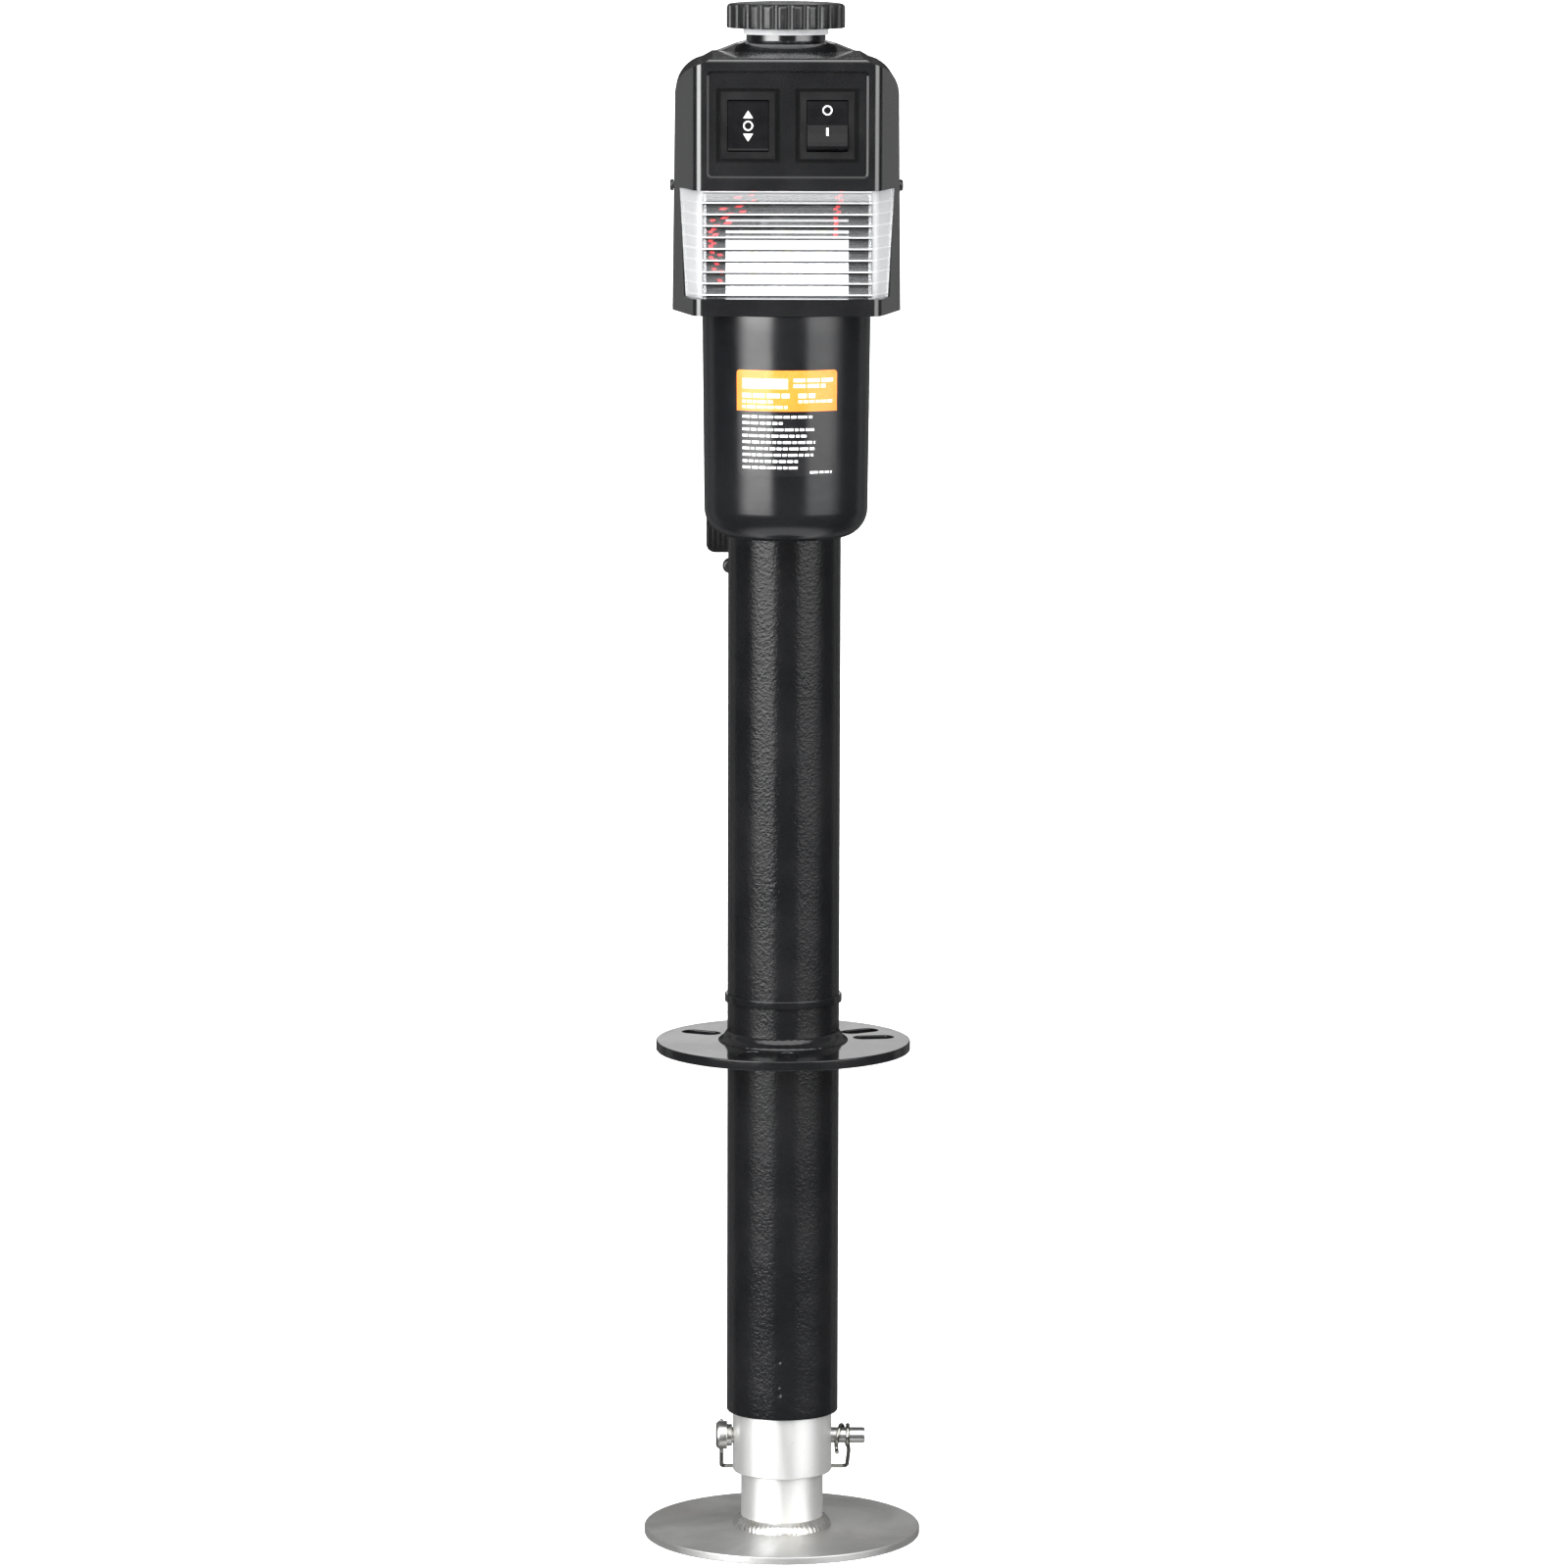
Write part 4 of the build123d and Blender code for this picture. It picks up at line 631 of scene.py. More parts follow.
def sweep_data(points, radius, n):
    """Round wire of n sides along a path, with rounded ends."""
    path = [points[0]]
    for p in points[1:]:
        if (p - path[-1]).length > 0.05:
            path.append(p)
    last = len(path) - 1
    tangents = [(path[min(last, i + 1)] - path[max(0, i - 1)]).normalized()
                for i in range(len(path))]
    start, end = tangents[0], tangents[-1]
    up = Vector((0, 0, 1)) if abs(start.z) < 0.9 else Vector((1, 0, 0))
    normal = (up - start * up.dot(start)).normalized()
    end_flatness = 0.6  # length of a rounded end over the wire's radius
    end_angles = [math.radians(q) for q in (15, 35, 60, 80)]
    rings = []  # centre, direction, normal, radius
    for a in reversed(end_angles):
        rings.append((path[0] - start * (radius * end_flatness * math.sin(a)), start, normal,
                      radius * math.cos(a)))
    for p, tangent in zip(path, tangents):
        normal = (normal - tangent * normal.dot(tangent)).normalized()
        rings.append((p, tangent, normal, radius))
    for a in end_angles:
        rings.append((path[-1] + end * (radius * end_flatness * math.sin(a)), end, normal,
                      radius * math.cos(a)))
    verts = []
    for centre, tangent, normal, r in rings:
        side = tangent.cross(normal)
        for k in range(n):
            q = TAU * k / n
            verts.append(tuple(centre + normal * (r * math.cos(q)) + side * (r * math.sin(q))))
    faces = tube_faces(len(rings), n)
    faces.append(tuple(range(n))[::-1])
    faces.append(tuple((len(rings) - 1) * n + k for k in range(n)))
    return verts, faces


def sheet_faces(rows, columns, ring=False):
    """Faces of two stacked grids of points, joined along their edges.

    In a ring the first and last columns coincide, so only the outer rows are joined.
    """
    size = rows * columns
    faces = []
    for layer in (0, 1):
        for i in range(rows - 1):
            for k in range(columns - 1):
                s = layer * size + i * columns + k
                quad = (s, s + 1, s + columns + 1, s + columns)
                faces.append(quad[::-1] if layer else quad)
    if ring:
        edges = [range(columns), range(size - columns, size)]
    else:
        edges = [list(range(columns))
                 + [i * columns + columns - 1 for i in range(1, rows)]
                 + [(rows - 1) * columns + k for k in range(columns - 2, -1, -1)]
                 + [i * columns for i in range(rows - 2, -1, -1)]]
    for edge in edges:
        faces += [(a, a + size, b + size, b) for a, b in zip(edge, edge[1:])]
    return faces


def bead(name, outline, crescents, ripple, seed, material, body, replaces):
    """A weld bead: rippled crescents along a fillet, held to its wall and its base."""
    wall = min(r for r, _ in outline)
    base = min(z for _, z in outline)
    centre_r = sum(r for r, _ in outline) / len(outline)
    centre_z = sum(z for _, z in outline) / len(outline)

    def shape(a, r, z):
        on_wall, on_base = abs(r - wall) < 1e-6, abs(z - base) < 1e-6
        if on_wall and on_base:
            return r, z
        u = math.atan2(z - centre_z, r - centre_r)
        # crescents lean across the bead and are unevenly spaced
        lean = 0.5 * math.cos(u - 0.8)
        spacing = noise.noise(Vector((4 * math.cos(a), 4 * math.sin(a), seed)))
        phase = ((a * crescents + lean * 2.2 + 1.5 * spacing) / TAU) % 1.0
        crest = ripple * (1 - (2 * phase - 1) ** 2) - ripple * 0.6
        # slow swelling and a little roughness
        swell = 0.35 * noise.noise(Vector((2.2 * math.cos(a), 2.2 * math.sin(a), seed + 5)))
        swell += 0.14 * noise.noise(Vector((r * 0.9, 9 * a, z * 0.9)))
        push = crest + swell * ripple * 2.2
        if on_wall:
            out, up = 0, push * 0.9
        elif on_base:
            out, up = push * 0.7, 0
        else:
            out, up = math.cos(u) * push, math.sin(u) * push
        return r + out, max(z + up, base)

    lathe(name, outline, material, body, replaces, angle=60, n=768, shape=shape)


# ---------------------------------------------------------------- jack tube, flange, ring

# x round the front of the tube, z, radius, depth
TUBE_DIMPLES = [(-2.2, 95.6, 1.6, 0.30), (-2.2, 82.5, 1.2, 0.28), (-2.2, 78.5, 2.0, 0.34)]


def dimple_tube(a, r, z):
    turn = a - FRONT
    if turn >= math.pi:
        turn -= TAU
    x = TUBE_RADIUS * turn
    sunk = 0.0
    for centre_x, centre_z, radius, depth in TUBE_DIMPLES:
        q = math.hypot(x - centre_x, z - centre_z) / radius
        if q < 1:
            sunk = max(sunk, depth * (1 - q * q) ** 1.2)
    return r - sunk, z


def tube_angles():
    """Angles round the tube, packed close together across the dimples."""
    dense = [FRONT + math.radians(-11.6 + 0.5 * k) for k in range(37)]
    margin = 0.005
    angles = list(dense)
    for i in range(208):
        a = FRONT + TAU * i / 208
        wrapped = a if a <= FRONT + math.pi else a - TAU
        if not dense[0] - margin < wrapped < dense[-1] + margin:
            angles.append(a)
    return sorted(set(round((a + TAU) % TAU, 6) for a in angles))


def jack_tube():
    heights = steps(65.4, 74, 3) + steps(75, 99, 0.3) + steps(101, 560, 12)
    heights += steps(570, 631.6, 8)
    outline = [(TUBE_RADIUS, z) for z in heights]
    outline += [(28.2, 632), (TUBE_BORE, 632)]
    outline += [(TUBE_BORE, z) for z in (400, 200, 65.2)]
    outline += [(25.9, 64.8), (27.975, 64.8), (28.35, 64.92), (28.52, 65.15)]
    lathe("jack_tube", outline, "tube_paint", "jack_body", "outer_tube", "tube_paint",
          angles=tube_angles(), shape=dimple_tube)


def flange():
    slots = [slot_loop(centre_radius=46.9, length=20.4, width=10.6, degrees=degrees)
             for degrees in (32.5, 153.5, 272.5, 8.5, 248)]
    tube_hole = ring_loop(TUBE_RADIUS, 192, hole=True)
    plate("flange_plate", ring_loop(FLANGE_RADIUS), slots + [tube_hole], FLANGE_BOTTOM,
          FLANGE_TOP, bevel=0.6, material="plate_paint", body="jack_body",
          replaces="mounting_flange")
    # radius, z
    outline = [(TUBE_RADIUS, FLANGE_TOP), (33.2, FLANGE_TOP), (32.95, 258.55), (32.2, 259.2),
               (31.1, 259.9), (30.3, 260.8), (29.6, 261.9), (29.1, 262.7), (TUBE_RADIUS, 263)]
    bead("flange_bead", outline, crescents=44, ripple=0.24, seed=2.3, material="plate_paint",
         body="jack_body", replaces="flange_weld")


def ring_band():
    outline = round_corners([(TUBE_RADIUS, 278.2), (29.9, 278.2, 0.6), (29.9, 282.4, 0.6),
                             (TUBE_RADIUS, 282.4)], 5)
    lathe("ring_band", outline, "plate_paint", "jack_body", "locator_ring", "tube_paint")


# ---------------------------------------------------------------- ram, drop leg, foot


def ram():
    heights = [33.8, 40] + steps(44, 58, 2) + steps(66, 74, 4) + steps(100, 560, 20)
    heights += [566, 574, 578, 584, 590, 597.6]
    outline = [(RAM_RADIUS, z) for z in heights] + [(25.1, 598), (RAM_BORE, 598)]
    outline += [(RAM_BORE, z) for z in heights[::-1][1:-1]]
    outline += [(RAM_BORE, 33.4), (21.9, 33), (24.6, 33), (25.0, 33.1), (25.3, 33.4)]
    piece = lathe("ram_tube", outline, "zinc", "ram", "inner_tube", "zinc", n=224)
    # pin hole, long slot in the +Y wall, and a smaller hole near the top
    cut(piece, [bore(4.06, (0, LOCK_Z)),
                block((-2.7, 2.7), (24.2, 30), (70, 570)),
                bore(3.02, (0, 584))])


def drop_leg():
    heights = [4.2, 12, 30]
    heights += [hole + offset for hole in LEG_HOLES for offset in (-6, -3, 0, 3, 6)]
    heights += [214, 222, 231.6]
    outline = [(LEG_RADIUS, z) for z in heights] + [(20.8, 232), (18.2, 232)]
    outline += [(LEG_BORE, z) for z in heights[::-1][1:]]
    piece = lathe("leg_tube", outline, "zinc", "foot", "drop_leg", "zinc", n=208)
    cut(piece, [bore(4.41, (0, hole)) for hole in LEG_HOLES])


def foot():
    corners = [(0, 0), (FOOT_RADIUS, 0, 0.4), (FOOT_RADIUS, FOOT_THICKNESS, 0.7),
               (0, FOOT_THICKNESS)]
    rim_inset = 0.03
    rim = [(r - rim_inset, min(FOOT_THICKNESS, max(0.0, z)))
           for r, z in round_corners(corners, 5)[1:-1]]
    outline = [(0, 0), (40, 0)] + rim + [(r, FOOT_THICKNESS) for r in (50, 30, 0)]
    lathe("foot_disc", outline, "zinc_dull", "foot", "foot_plate", "zinc_dull", n=320,
          closed=False)
    # radius, z
    outline = [(LEG_RADIUS, FOOT_THICKNESS), (25.3, FOOT_THICKNESS), (25.15, 4.9), (24.75, 6),
               (24.1, 7.0), (23.2, 7.9), (22.2, 8.7), (LEG_RADIUS, 9.3)]
    bead("foot_bead", outline, crescents=58, ripple=0.15, seed=7.7, material="zinc_weld",
         body="foot", replaces="foot_weld")


# ---------------------------------------------------------------- lock pin and bail

WIRE_X, WIRE_Y = -31.3, 4.6  # where the bail passes upright through the pin's head


def lock_pin():
    # radius, x: the rounded tip, the shank, the collar and the head
    outline = [(0, 42.6), (3.3, 42.6), (3.75, 42.4), (4.0, 41.95)]
    outline += [(4.0, x) for x in (34, 20, 0, -20, -25.8)]
    outline += [(5.2, -25.8), (5.6, -26.15), (5.6, -28.4)]
    outline += [(7.0, -28.4), (7.2, -28.65), (7.2, -31.9)]
    corner = 2.2
    for degrees in (10, 22, 34, 46, 58, 70, 80, 90):
        q = math.radians(degrees)
        outline.append((5.0 + corner * math.cos(q), -32.0 - corner * math.sin(q)))
    outline.append((0, -34.2))
    piece = lathe("pin_body", outline, "zinc_bright", "pin", "lock_pin", "zinc", n=96,
                  centre=(0, LOCK_Z), axis="x", closed=False)
    cut(piece, [bore(1.1, (WIRE_X, WIRE_Y), start=40, end=62, axis="z", sides=32)])


def bail():
    """Wire from the pin's head, round the +Y side of the tube, to a coil at the pin's tip."""
    corners = [(WIRE_X, WIRE_Y, 57.6), (WIRE_X, WIRE_Y, 41.0), (WIRE_X, 27.2, 28.2),
               (33.9, 27.2, 28.2), (34.6, 12, 40.0), (34.0, 5.0, 46.2)]
    path = round_path(corners, 2.6)
    turns, coil_radius, coil_x = 1.92, 5.15, 34.0
    coil_start = math.radians(-42)
    coil_steps = turns * 40
    for k in range(int(coil_steps) + 1):
        s = k / coil_steps
        a = coil_start + TAU * turns * s
        # the coil creeps towards -X, then sidesteps in its later part
        w = min(1.0, max(0.0, (s - 0.42) / 0.52))
        path.append(Vector((coil_x - 0.9 * s - 5.2 * w * w * (3 - 2 * w),
                            coil_radius * math.cos(a), LOCK_Z + coil_radius * math.sin(a))))
    end = path[-1]
    ahead = (path[-1] - path[-2]).normalized()
    # distance on past the coil, then a shift (x, y, z)
    tail = [(0.4, (0, 0, 0)), (1.2, (0, 0, 0)), (2.0, (0.1, 0, -1.4)),
            (1.8, (0.3, -0.6, -3.6)), (0.9, (0.5, -1.2, -4.6))]
    tail = [end + ahead * distance + Vector(shift) for distance, shift in tail]
    path += round_path(tail, 1.5, 6)[1:]
    points, faces = sweep_data(path, radius=1.0, n=18)
    make("bail_spring", points, faces, ["spring_wire"], "pin", "bail_wire",
         angle=60)


# ---------------------------------------------------------------- motor cover

COVER_BOTTOM, COVER_TOP = 524.5, 636.5
COVER_CORNER, COVER_WALL = 14.5, 2.4
COVER_SIDE = COVER_BOTTOM + COVER_CORNER  # where the tapered side begins


def cover_radius(z):
    return 40.5 + 1.1 * (z - COVER_SIDE) / (COVER_TOP - COVER_SIDE)


def motor_cover():
    corner_r = cover_radius(COVER_SIDE) - COVER_CORNER
    rim_z = 636.0
    floor_z = COVER_BOTTOM + COVER_WALL

    def corner(q, radius, bottom):
        return corner_r + radius * math.sin(q), bottom + radius * (1 - math.cos(q))

    outline = [(r, COVER_BOTTOM) for r in (0, 12, 20, 24.0)]
    outline += [corner(math.radians(90 * k / 14), COVER_CORNER, COVER_BOTTOM)
                for k in range(1, 15)]
    outline += [(cover_radius(z), z) for z in steps(COVER_SIDE, rim_z, 8)[1:]]
    outline += [(41.35, COVER_TOP), (39.5, COVER_TOP)]
    outline += [(cover_radius(z) - COVER_WALL, z) for z in steps(rim_z, COVER_SIDE, 24)[:-1]]
    outline += [corner(math.radians(90 * (1 - k / 10)), COVER_CORNER - COVER_WALL, floor_z)
                for k in range(11)]
    outline += [(20, floor_z), (0, floor_z)]
    lathe("motor_shroud", outline, "gloss_cover", "jack_body", "motor_cover", "gloss_cover",
          n=288, centre=(0, MOTOR_Y), closed=False)


# ---------------------------------------------------------------- rating label

LABEL_BOTTOM, LABEL_TOP, BAND_BOTTOM = 558.0, 610.0, 589.9
LABEL_RADIUS = cover_radius((LABEL_BOTTOM + LABEL_TOP) / 2)
LABEL_HALF = math.radians(36.4) * LABEL_RADIUS  # half its width, measured round the cover
LABEL_CORNER = 1.8
LABEL_MATERIALS = ["label", "label_orange", "print_tint", "print_white"]
DARK, ORANGE, TINT, PRINT = range(4)
LONG, SHORT = (4, 8, 1.0), (1.6, 4.6, 0.75)  # shortest word, longest word, gap

# rows of words: start and end round the cover, z, height, tone, kind of word
LABEL_ROWS = [
    (3.2, 23.6, 605.2, 1.7, TINT, LONG), (3.2, 19.4, 602.4, 1.7, TINT, LONG),
    (-22.8, 1.2, 597.6, 2.1, TINT, LONG), (-22.8, -7.0, 594.6, 1.3, TINT, SHORT),
    (-22.8, 0.2, 592.0, 1.3, TINT, SHORT), (5.6, 14.0, 597.6, 2.1, TINT, LONG),
    (5.6, 23.4, 594.8, 1.3, TINT, SHORT)]
TEXT_ENDS = (12.6, -1.4, 15.0, 11.2, 14.2, 14.6, 13.2, 5.4, 6.8)
LABEL_ROWS += [(-22.8, end, 587.2 - 3.12 * k, 1.25, PRINT, SHORT)
               for k, end in enumerate(TEXT_ENDS)]
LABEL_ROWS.append((11.6, 23.4, 559.9, 1.1, PRINT, SHORT))


def label_bars():
    """Plain bars instead of print: (start, end, bottom, top, tone)."""
    draw = random.Random(11)
    bars = [(-22.6, 0.4, 601.0, 605.9, TINT)]
    for start, end, z, height, tone, (shortest, longest, gap) in LABEL_ROWS:
        while start < end - 0.8:
            width = min(draw.uniform(shortest, longest), end - start)
            bars.append((start, start + width, z - height / 2, z + height / 2, tone))
            start += width + gap
    return bars


def label_half_width(z):
    """Half the label's width at a height, less at its rounded corners."""
    for centre, side in ((LABEL_TOP - LABEL_CORNER, 1), (LABEL_BOTTOM + LABEL_CORNER, -1)):
        if (z - centre) * side > 0:
            reach = math.sqrt(max(0, LABEL_CORNER ** 2 - (z - centre) ** 2))
            return LABEL_HALF - LABEL_CORNER + reach
    return LABEL_HALF


def rating_label():
    """A thin curved sticker with an orange band across its top."""
    bars = label_bars()
    across = [-LABEL_HALF + 2 * LABEL_HALF * k / 60 for k in range(61)]
    across += [edge for bar in bars for edge in bar[:2]]
    heights = steps(LABEL_BOTTOM, LABEL_TOP, 4) + [BAND_BOTTOM]
    heights += [edge for bar in bars for edge in bar[2:4]]
    heights += [LABEL_TOP - LABEL_CORNER * (1 - math.cos(math.radians(q)))
                for q in (0, 25, 45, 62, 76, 90)]
    across, heights = [sorted(set(round(value, 3) for value in values))
                       for values in (across, heights)]
    points = []
    for lift in (0.17, 0.02):  # face and back, above the cover
        for z in heights:
            half, radius = label_half_width(z), cover_radius(z) + lift
            for u in across:
                a = FRONT + max(-half, min(half, u)) / LABEL_RADIUS
                points.append((radius * math.cos(a), MOTOR_Y + radius * math.sin(a), z))

    def ground(z):
        return ORANGE if z > BAND_BOTTOM else DARK

    def tone(u, z):
        for start, end, bottom, top, bar_tone in bars:
            if start < u < end and bottom < z < top:
                return bar_tone
        return ground(z)

    faces = sheet_faces(len(heights), len(across))
    tones = [tone((u0 + u1) / 2, (z0 + z1) / 2)
             for z0, z1 in zip(heights, heights[1:]) for u0, u1 in zip(across, across[1:])] * 2
    tones += [ground((points[a][2] + points[b][2]) / 2) for a, _, _, b in faces[len(tones):]]
    make("sticker", points, faces, LABEL_MATERIALS, "jack_body", "rating_label",
         angle=40, face_materials=tones, weld=False)


# ---------------------------------------------------------------- cap, seal

CAP_RADIUS, CAP_BORE = 29.8, 17.1
FLUTES = 24
FLUTE_RADIUS, FLUTE_CENTRE = 2.2, 30.6
FLUTE_TURN = math.radians(3.75)


def flute_cap(a, r, z):
    """Scoops the flutes out of the cap's side."""
    pitch = TAU / FLUTES
    offset = (a - FLUTE_TURN + pitch / 2) % pitch - pitch / 2
    across = abs(FLUTE_CENTRE * math.sin(offset))
    if across < FLUTE_RADIUS:
        limit = FLUTE_CENTRE * math.cos(offset) - math.sqrt(FLUTE_RADIUS ** 2 - across ** 2)
    else:  # soft shoulder where a flute meets the rim
        edge = math.asin(FLUTE_RADIUS / FLUTE_CENTRE)
        soft = min(1.0, (abs(offset) - edge) / 0.012)
        limit = CAP_RADIUS - 0.25 * (1 - soft) ** 2
    return min(r, limit), z


def crank_cap():
    # radius, z: from the middle of the recess, out round the rim and over the top
    outline = [(0, 782.4), (10, 782.4), (16.6, 782.4), (CAP_BORE, 781.9), (CAP_BORE, 778),
               (CAP_BORE, 773.6), (17.4, 773.2),
               (CAP_RADIUS - 0.6, 773.2), (CAP_RADIUS - 0.2, 773.35)]
    outline += [(CAP_RADIUS, z) for z in (773.8, 776, 779, 782)]
    edge_width, edge_height = 2.6, 2.2
    for k in range(9):
        q = math.radians(90 * k / 8)
        outline.append((CAP_RADIUS - edge_width + edge_width * math.cos(q),
                        783.3 + edge_height * math.sin(q)))
    outline += [(25.5, 785.72), (22, 785.98), (16, 786.24), (8, 786.37), (0, 786.4)]
    lathe("crank_cap", outline, "cap_plastic", "cap", "manual_cap", "cap_plastic", angle=38,
          n=FLUTES * 24, shape=flute_cap, closed=False)


def seal_ring():
    outline = round_corners([(CAP_BORE, 770), (21.4, 770, 0.35), (21.4, 773.1, 0.35),
                             (CAP_BORE, 773.1)], 4)
    lathe("seal_ring", outline, "seal_white", "cap_ring", "cap_seal", "seal_white")


# ---------------------------------------------------------------- marks on the rockers

ROCKER_X = {"direction": -19.3, "light": 19.3}


def mark(name, rocker, centre_z, grid):
    """A thin raised print. grid is rows of (x, z) about its centre, laid on the rocker."""
    depsgraph = bpy.context.evaluated_depsgraph_get()
    surface = BVHTree.FromObject(NODES[rocker + "_rocker"], depsgraph)
    centre_x = ROCKER_X[rocker]
    points = []
    for lift in (-0.06, 0.03):
        for row in grid:
            for x, z in row:
                x, z = centre_x + x, centre_z + z
                hit = surface.ray_cast(Vector((x * MM, -0.2, z * MM)), Vector((0, 1, 0)))[0]
                y = hit.y / MM if hit is not None else -115
                points.append((x, y + lift, z))
    faces = sheet_faces(len(grid), len(grid[0]), ring=grid[0][0] == grid[0][-1])
    make(name, points, faces, ["print_white"], rocker + "_key", angle=40)


def ring_grid(outer, inner, n=48):
    return [[(r * math.cos(TAU * k / n), r * math.sin(TAU * k / n)) for k in range(n)]
            + [(r, 0.0)] for r in (outer, (outer + inner) / 2, inner)]


def triangle_grid(width, height, up, n=8):
    rows = []
    for i in range(n + 1):
        s = i / n
        half = width / 2 * (1 - s)
        z = up * (-height / 2 + height * s)
        rows.append([(half * (2 * k / 6 - 1), z) for k in range(7)])
    return rows


def bar_grid(width, height, n=8):
    return [[(-width / 2 + width * k / 2, -height / 2 + height * i / n) for k in range(3)]
            for i in range(n + 1)]


def marks():
    ring = ring_grid(outer=2.4, inner=1.75)
    mark("mark_up", "direction", 734.8, triangle_grid(width=4.8, height=3.7, up=1))
    mark("mark_ring_left", "direction", 729.3, ring)
    mark("mark_down", "direction", 723.6, triangle_grid(width=4.8, height=3.7, up=-1))
    mark("mark_ring_right", "light", 736.9, ring)
    mark("mark_bar", "light", 726.5, bar_grid(width=1.05, height=3.8))


# ---------------------------------------------------------------- CAD pieces kept as they are


def paint_nodes():
    """Gives each CAD piece the finish its own material names, or steel."""
    # every name is read before any is changed, as pieces may share a mesh
    keys = {}
    for name, node in NODES.items():
        own = node.data.materials
        keys[name] = own[0].name.split(".")[0] if own else ""
    keys["motor_end_bell"] = "cast_paint"
    for name, node in NODES.items():
        node.data.materials.clear()
        node.data.materials.append(MATS.get(keys[name], MATS["steel"]))


def soften(name, width):
    """Rounded moulded edges on a piece that keeps its mesh; width is in metres."""
    node = NODES[name]
    custom = node.data.attributes.get("custom_normal")
    if custom:
        node.data.attributes.remove(custom)
    weld = node.modifiers.new("weld", "WELD")
    weld.merge_threshold = 1e-6
    bevel = node.modifiers.new("edges", "BEVEL")
    bevel.width = width
    bevel.segments = 3
    bevel.limit_method = "ANGLE"
    bevel.angle_limit = math.radians(40)
    bevel.use_clamp_overlap = True
    normals = node.modifiers.new("normals", "WEIGHTED_NORMAL")
    normals.keep_sharp = True
    node.data.shade_smooth()


# ---------------------------------------------------------------- stage


def world():
    """White to the camera; to all else a dim room with soft boxes, set by direction."""
    studio = bpy.data.worlds.new("studio")
    scene.world = studio
    studio.use_nodes = True
    g = Graph(studio.node_tree)
    output = g.node("OutputWorld")
    place = g.node("TexCoord").outputs["Generated"]
    x, y, z = g.node("SeparateXYZ", {0: place}).outputs
    # degrees: azimuth is 0 towards the camera and grows to its right
    to_degrees = 180 / math.pi
    azimuth = g.mul(g.math("ARCTAN2", x, g.mul(y, -1.0)), to_degrees)
    elevation = g.mul(g.math("ARCSINE", z), to_degrees)

    def band(value, start, end, soft):
        """1 from start to end, with each edge blurred by its own soft width."""
        rise = g.remap(value, between=(start - soft[0], start + soft[0]))
        fall = g.remap(value, between=(end - soft[1], end + soft[1]), to=(1.0, 0.0))
        return g.mul(rise, fall)

    def lit(total, mask, strength):
        return g.add(total, g.mul(mask, strength))

    turned = g.math("ABSOLUTE", azimuth)
    # front level, dark flags at the sides, table glow, a bright strip of backdrop behind
    total = g.remap(turned, between=(64, 84), to=(0.115, 0.04))
    total = g.add(total, g.remap(elevation, between=(-66, -48), to=(0.95, 0.0)))
    behind = g.mul(g.remap(turned, between=(172, 179)),
                   band(elevation, start=8, end=16, soft=(1.5, 6)))
    total = lit(total, behind, strength=1.25)

    # the soft boxes stop short of the table
    above_table = g.remap(elevation, between=(-8.6, -3.6))

    def soft_box(start, end, soft):
        sideways = band(azimuth, start, end, soft)
        return g.mul(sideways, g.mul(band(elevation, start=-30, end=26, soft=(8, 10)),
                                     above_table))

    left = soft_box(start=-64, end=-21, soft=(12, 4))
    right = soft_box(start=29, end=72, soft=(4, 16))
    total = lit(total, left, strength=10.0)
    total = lit(total, right, strength=4.2)
    for middle in (-128.0, 128.0):  # narrow strips behind, for the sides and the back
        strip = g.mul(band(azimuth, middle - 7, middle + 7, soft=(4, 4)),
                      band(elevation, start=-30, end=50, soft=(8, 12)))
        total = lit(total, strip, strength=0.22)
    total = lit(total, band(turned, start=140, end=162, soft=(5, 5)), strength=0.13)
    overhead = g.mul(band(elevation, start=20, end=78, soft=(8, 8)),
                     g.remap(y, between=(-0.36, -0.14), to=(1.0, 0.03)))
    total = lit(total, overhead, strength=3.6)

    room = g.node("Background", {"Color": WHITE, "Strength": total})
    backdrop = g.node("Background", {"Color": WHITE, "Strength": 1.0})
    camera_ray = g.node("LightPath").outputs["Is Camera Ray"]
    g.put(output, {0: g.mix_shader(camera_ray, room.outputs[0], backdrop.outputs[0])})


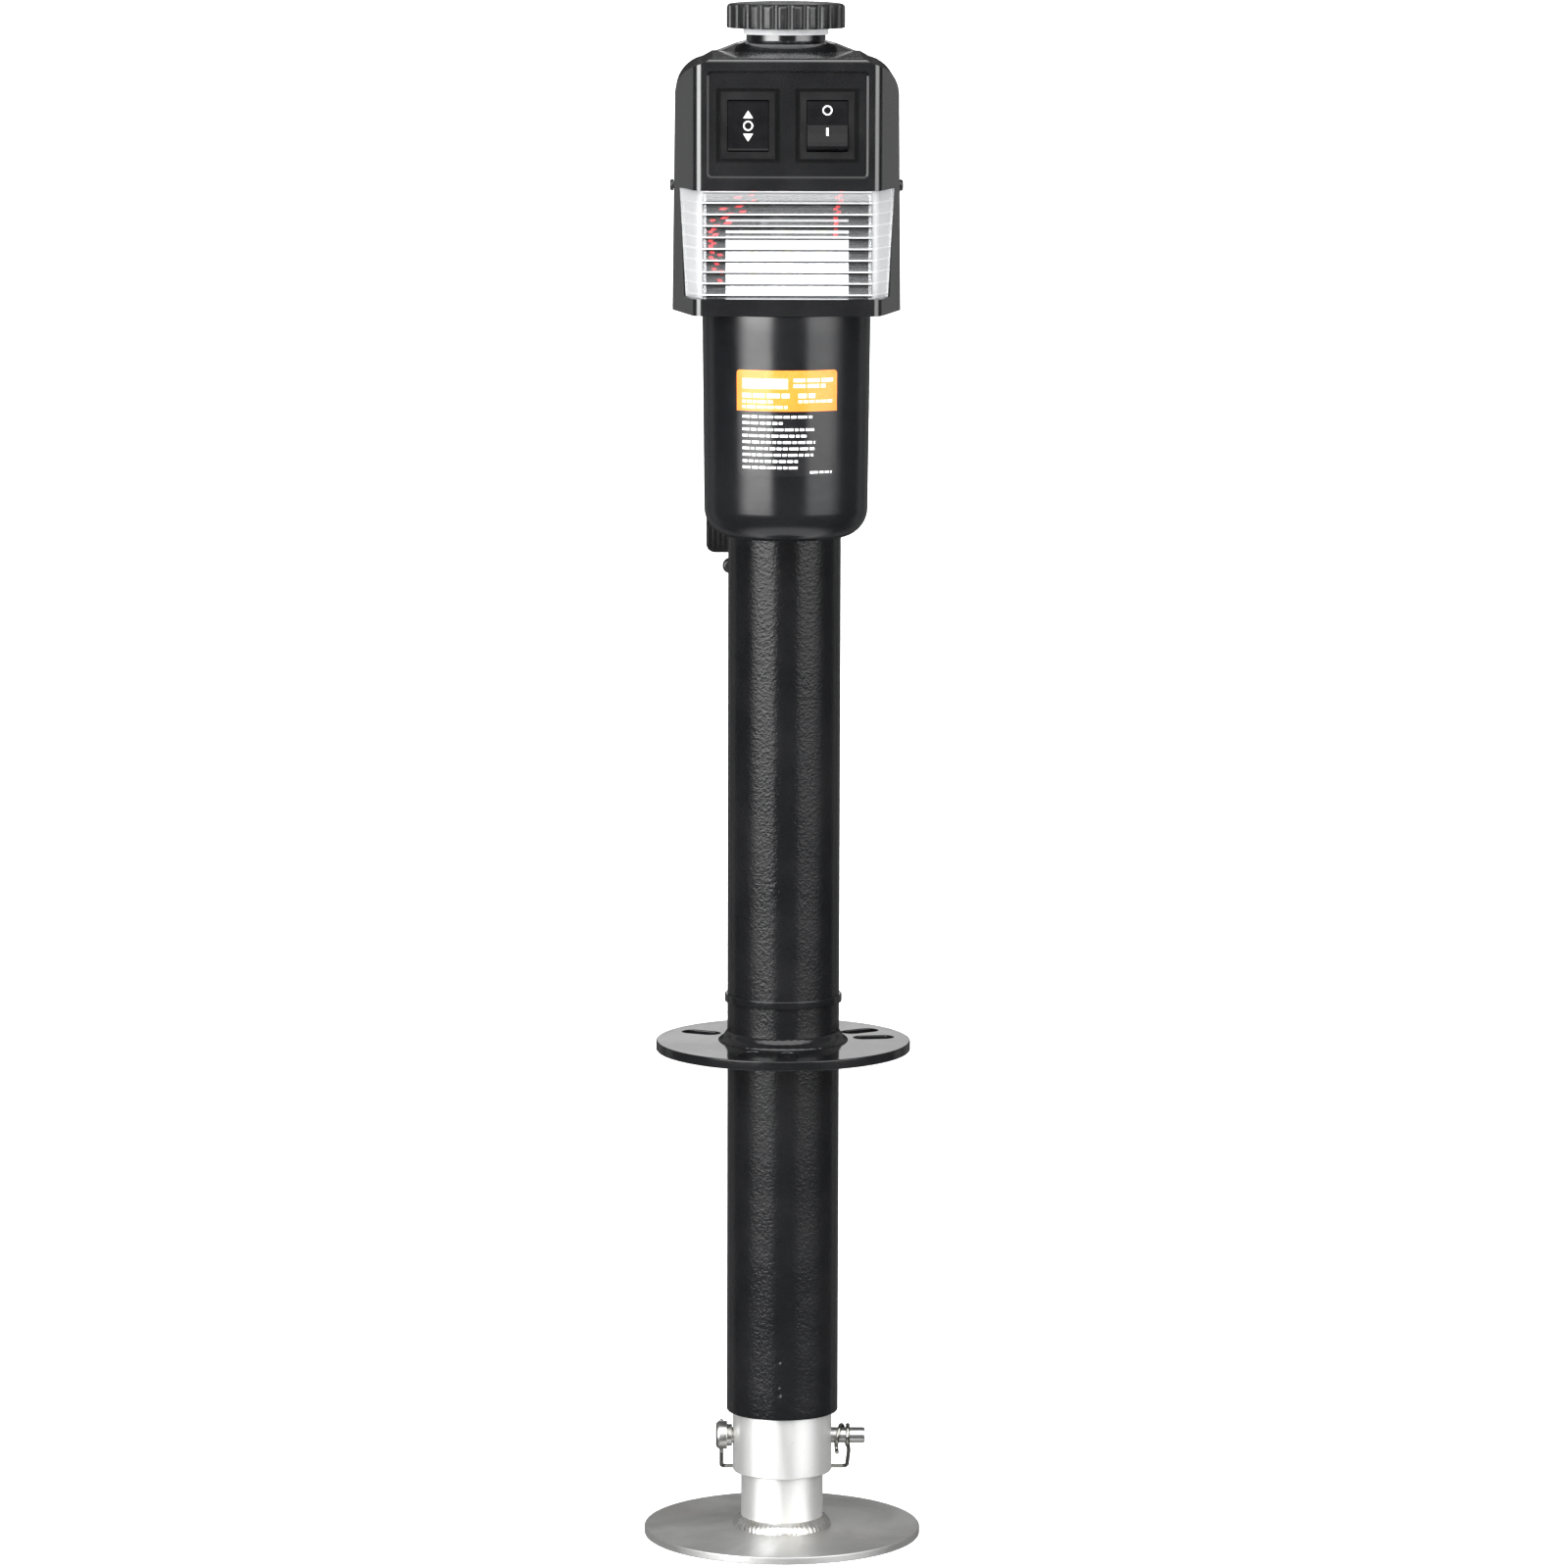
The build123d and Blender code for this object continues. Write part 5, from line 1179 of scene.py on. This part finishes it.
def floor():
    half = 60.0
    mesh = bpy.data.meshes.new("floor")
    corners = [(-half, -half, 0), (half, -half, 0), (half, half, 0), (-half, half, 0)]
    mesh.from_pydata(corners, [], [(0, 1, 2, 3)])
    ground = add_object("floor", mesh)
    material, g, bsdf, _ = new_material("floor")
    cloud = g.remap(g.noise(3.0, detail=4.0), MIDDLE)
    g.put(bsdf, {"Base Color": g.mix(cloud, (0.93, 0.93, 0.93), (0.95, 0.95, 0.95)),
                 "Roughness": 0.9, "Specular IOR Level": 0.1,
                 "Emission Color": WHITE, "Emission Strength": 0.62})
    mesh.materials.append(material)
    ground.visible_glossy = False
    ground.visible_transmission = False
    # the floor stays under the foot when the leg is run out
    ground.parent = NODES["foot_plate"].parent


def area_light(name, location, size, power):
    aim = Vector((0, 0, 0.4))
    light = bpy.data.lights.new(name, "AREA")
    light.shape = "RECTANGLE"
    light.size, light.size_y = size
    light.energy = power
    lamp = bpy.data.objects.new(name, light)
    lamp.location = location
    lamp.rotation_euler = (aim - Vector(location)).to_track_quat("-Z", "Y").to_euler()
    lamp.visible_glossy = False
    scene.collection.objects.link(lamp)


def camera():
    data = bpy.data.cameras.new("camera")
    data.lens = 162
    data.sensor_width = 36
    data.clip_end = 100
    viewer = add_object("camera", data)
    pan, tilt, roll = [math.radians(degrees) for degrees in (-0.5, 82.1, 0.156)]
    turn = Matrix.Rotation(pan, 4, "Z") @ Matrix.Rotation(tilt, 4, "X") @ \
        Matrix.Rotation(roll, 4, "Z")
    viewer.matrix_world = Matrix.Translation((-0.031, -3.56, 0.884)) @ turn
    scene.camera = viewer


# ---------------------------------------------------------------- build

jack_tube()
flange()
ring_band()
ram()
drop_leg()
foot()
lock_pin()
bail()
motor_cover()
rating_label()
crank_cap()
seal_ring()
marks()
paint_nodes()
soften("cable_connector", width=0.0007)

scene.view_settings.view_transform = "Standard"
scene.view_settings.look = "None"
world()
floor()
area_light("key", location=(-1.6, -2.0, 2.0), size=(1.2, 1.6), power=9)
area_light("fill", location=(1.7, -1.8, 1.4), size=(1.0, 1.6), power=5)
camera()

bpy.context.view_layer.update()
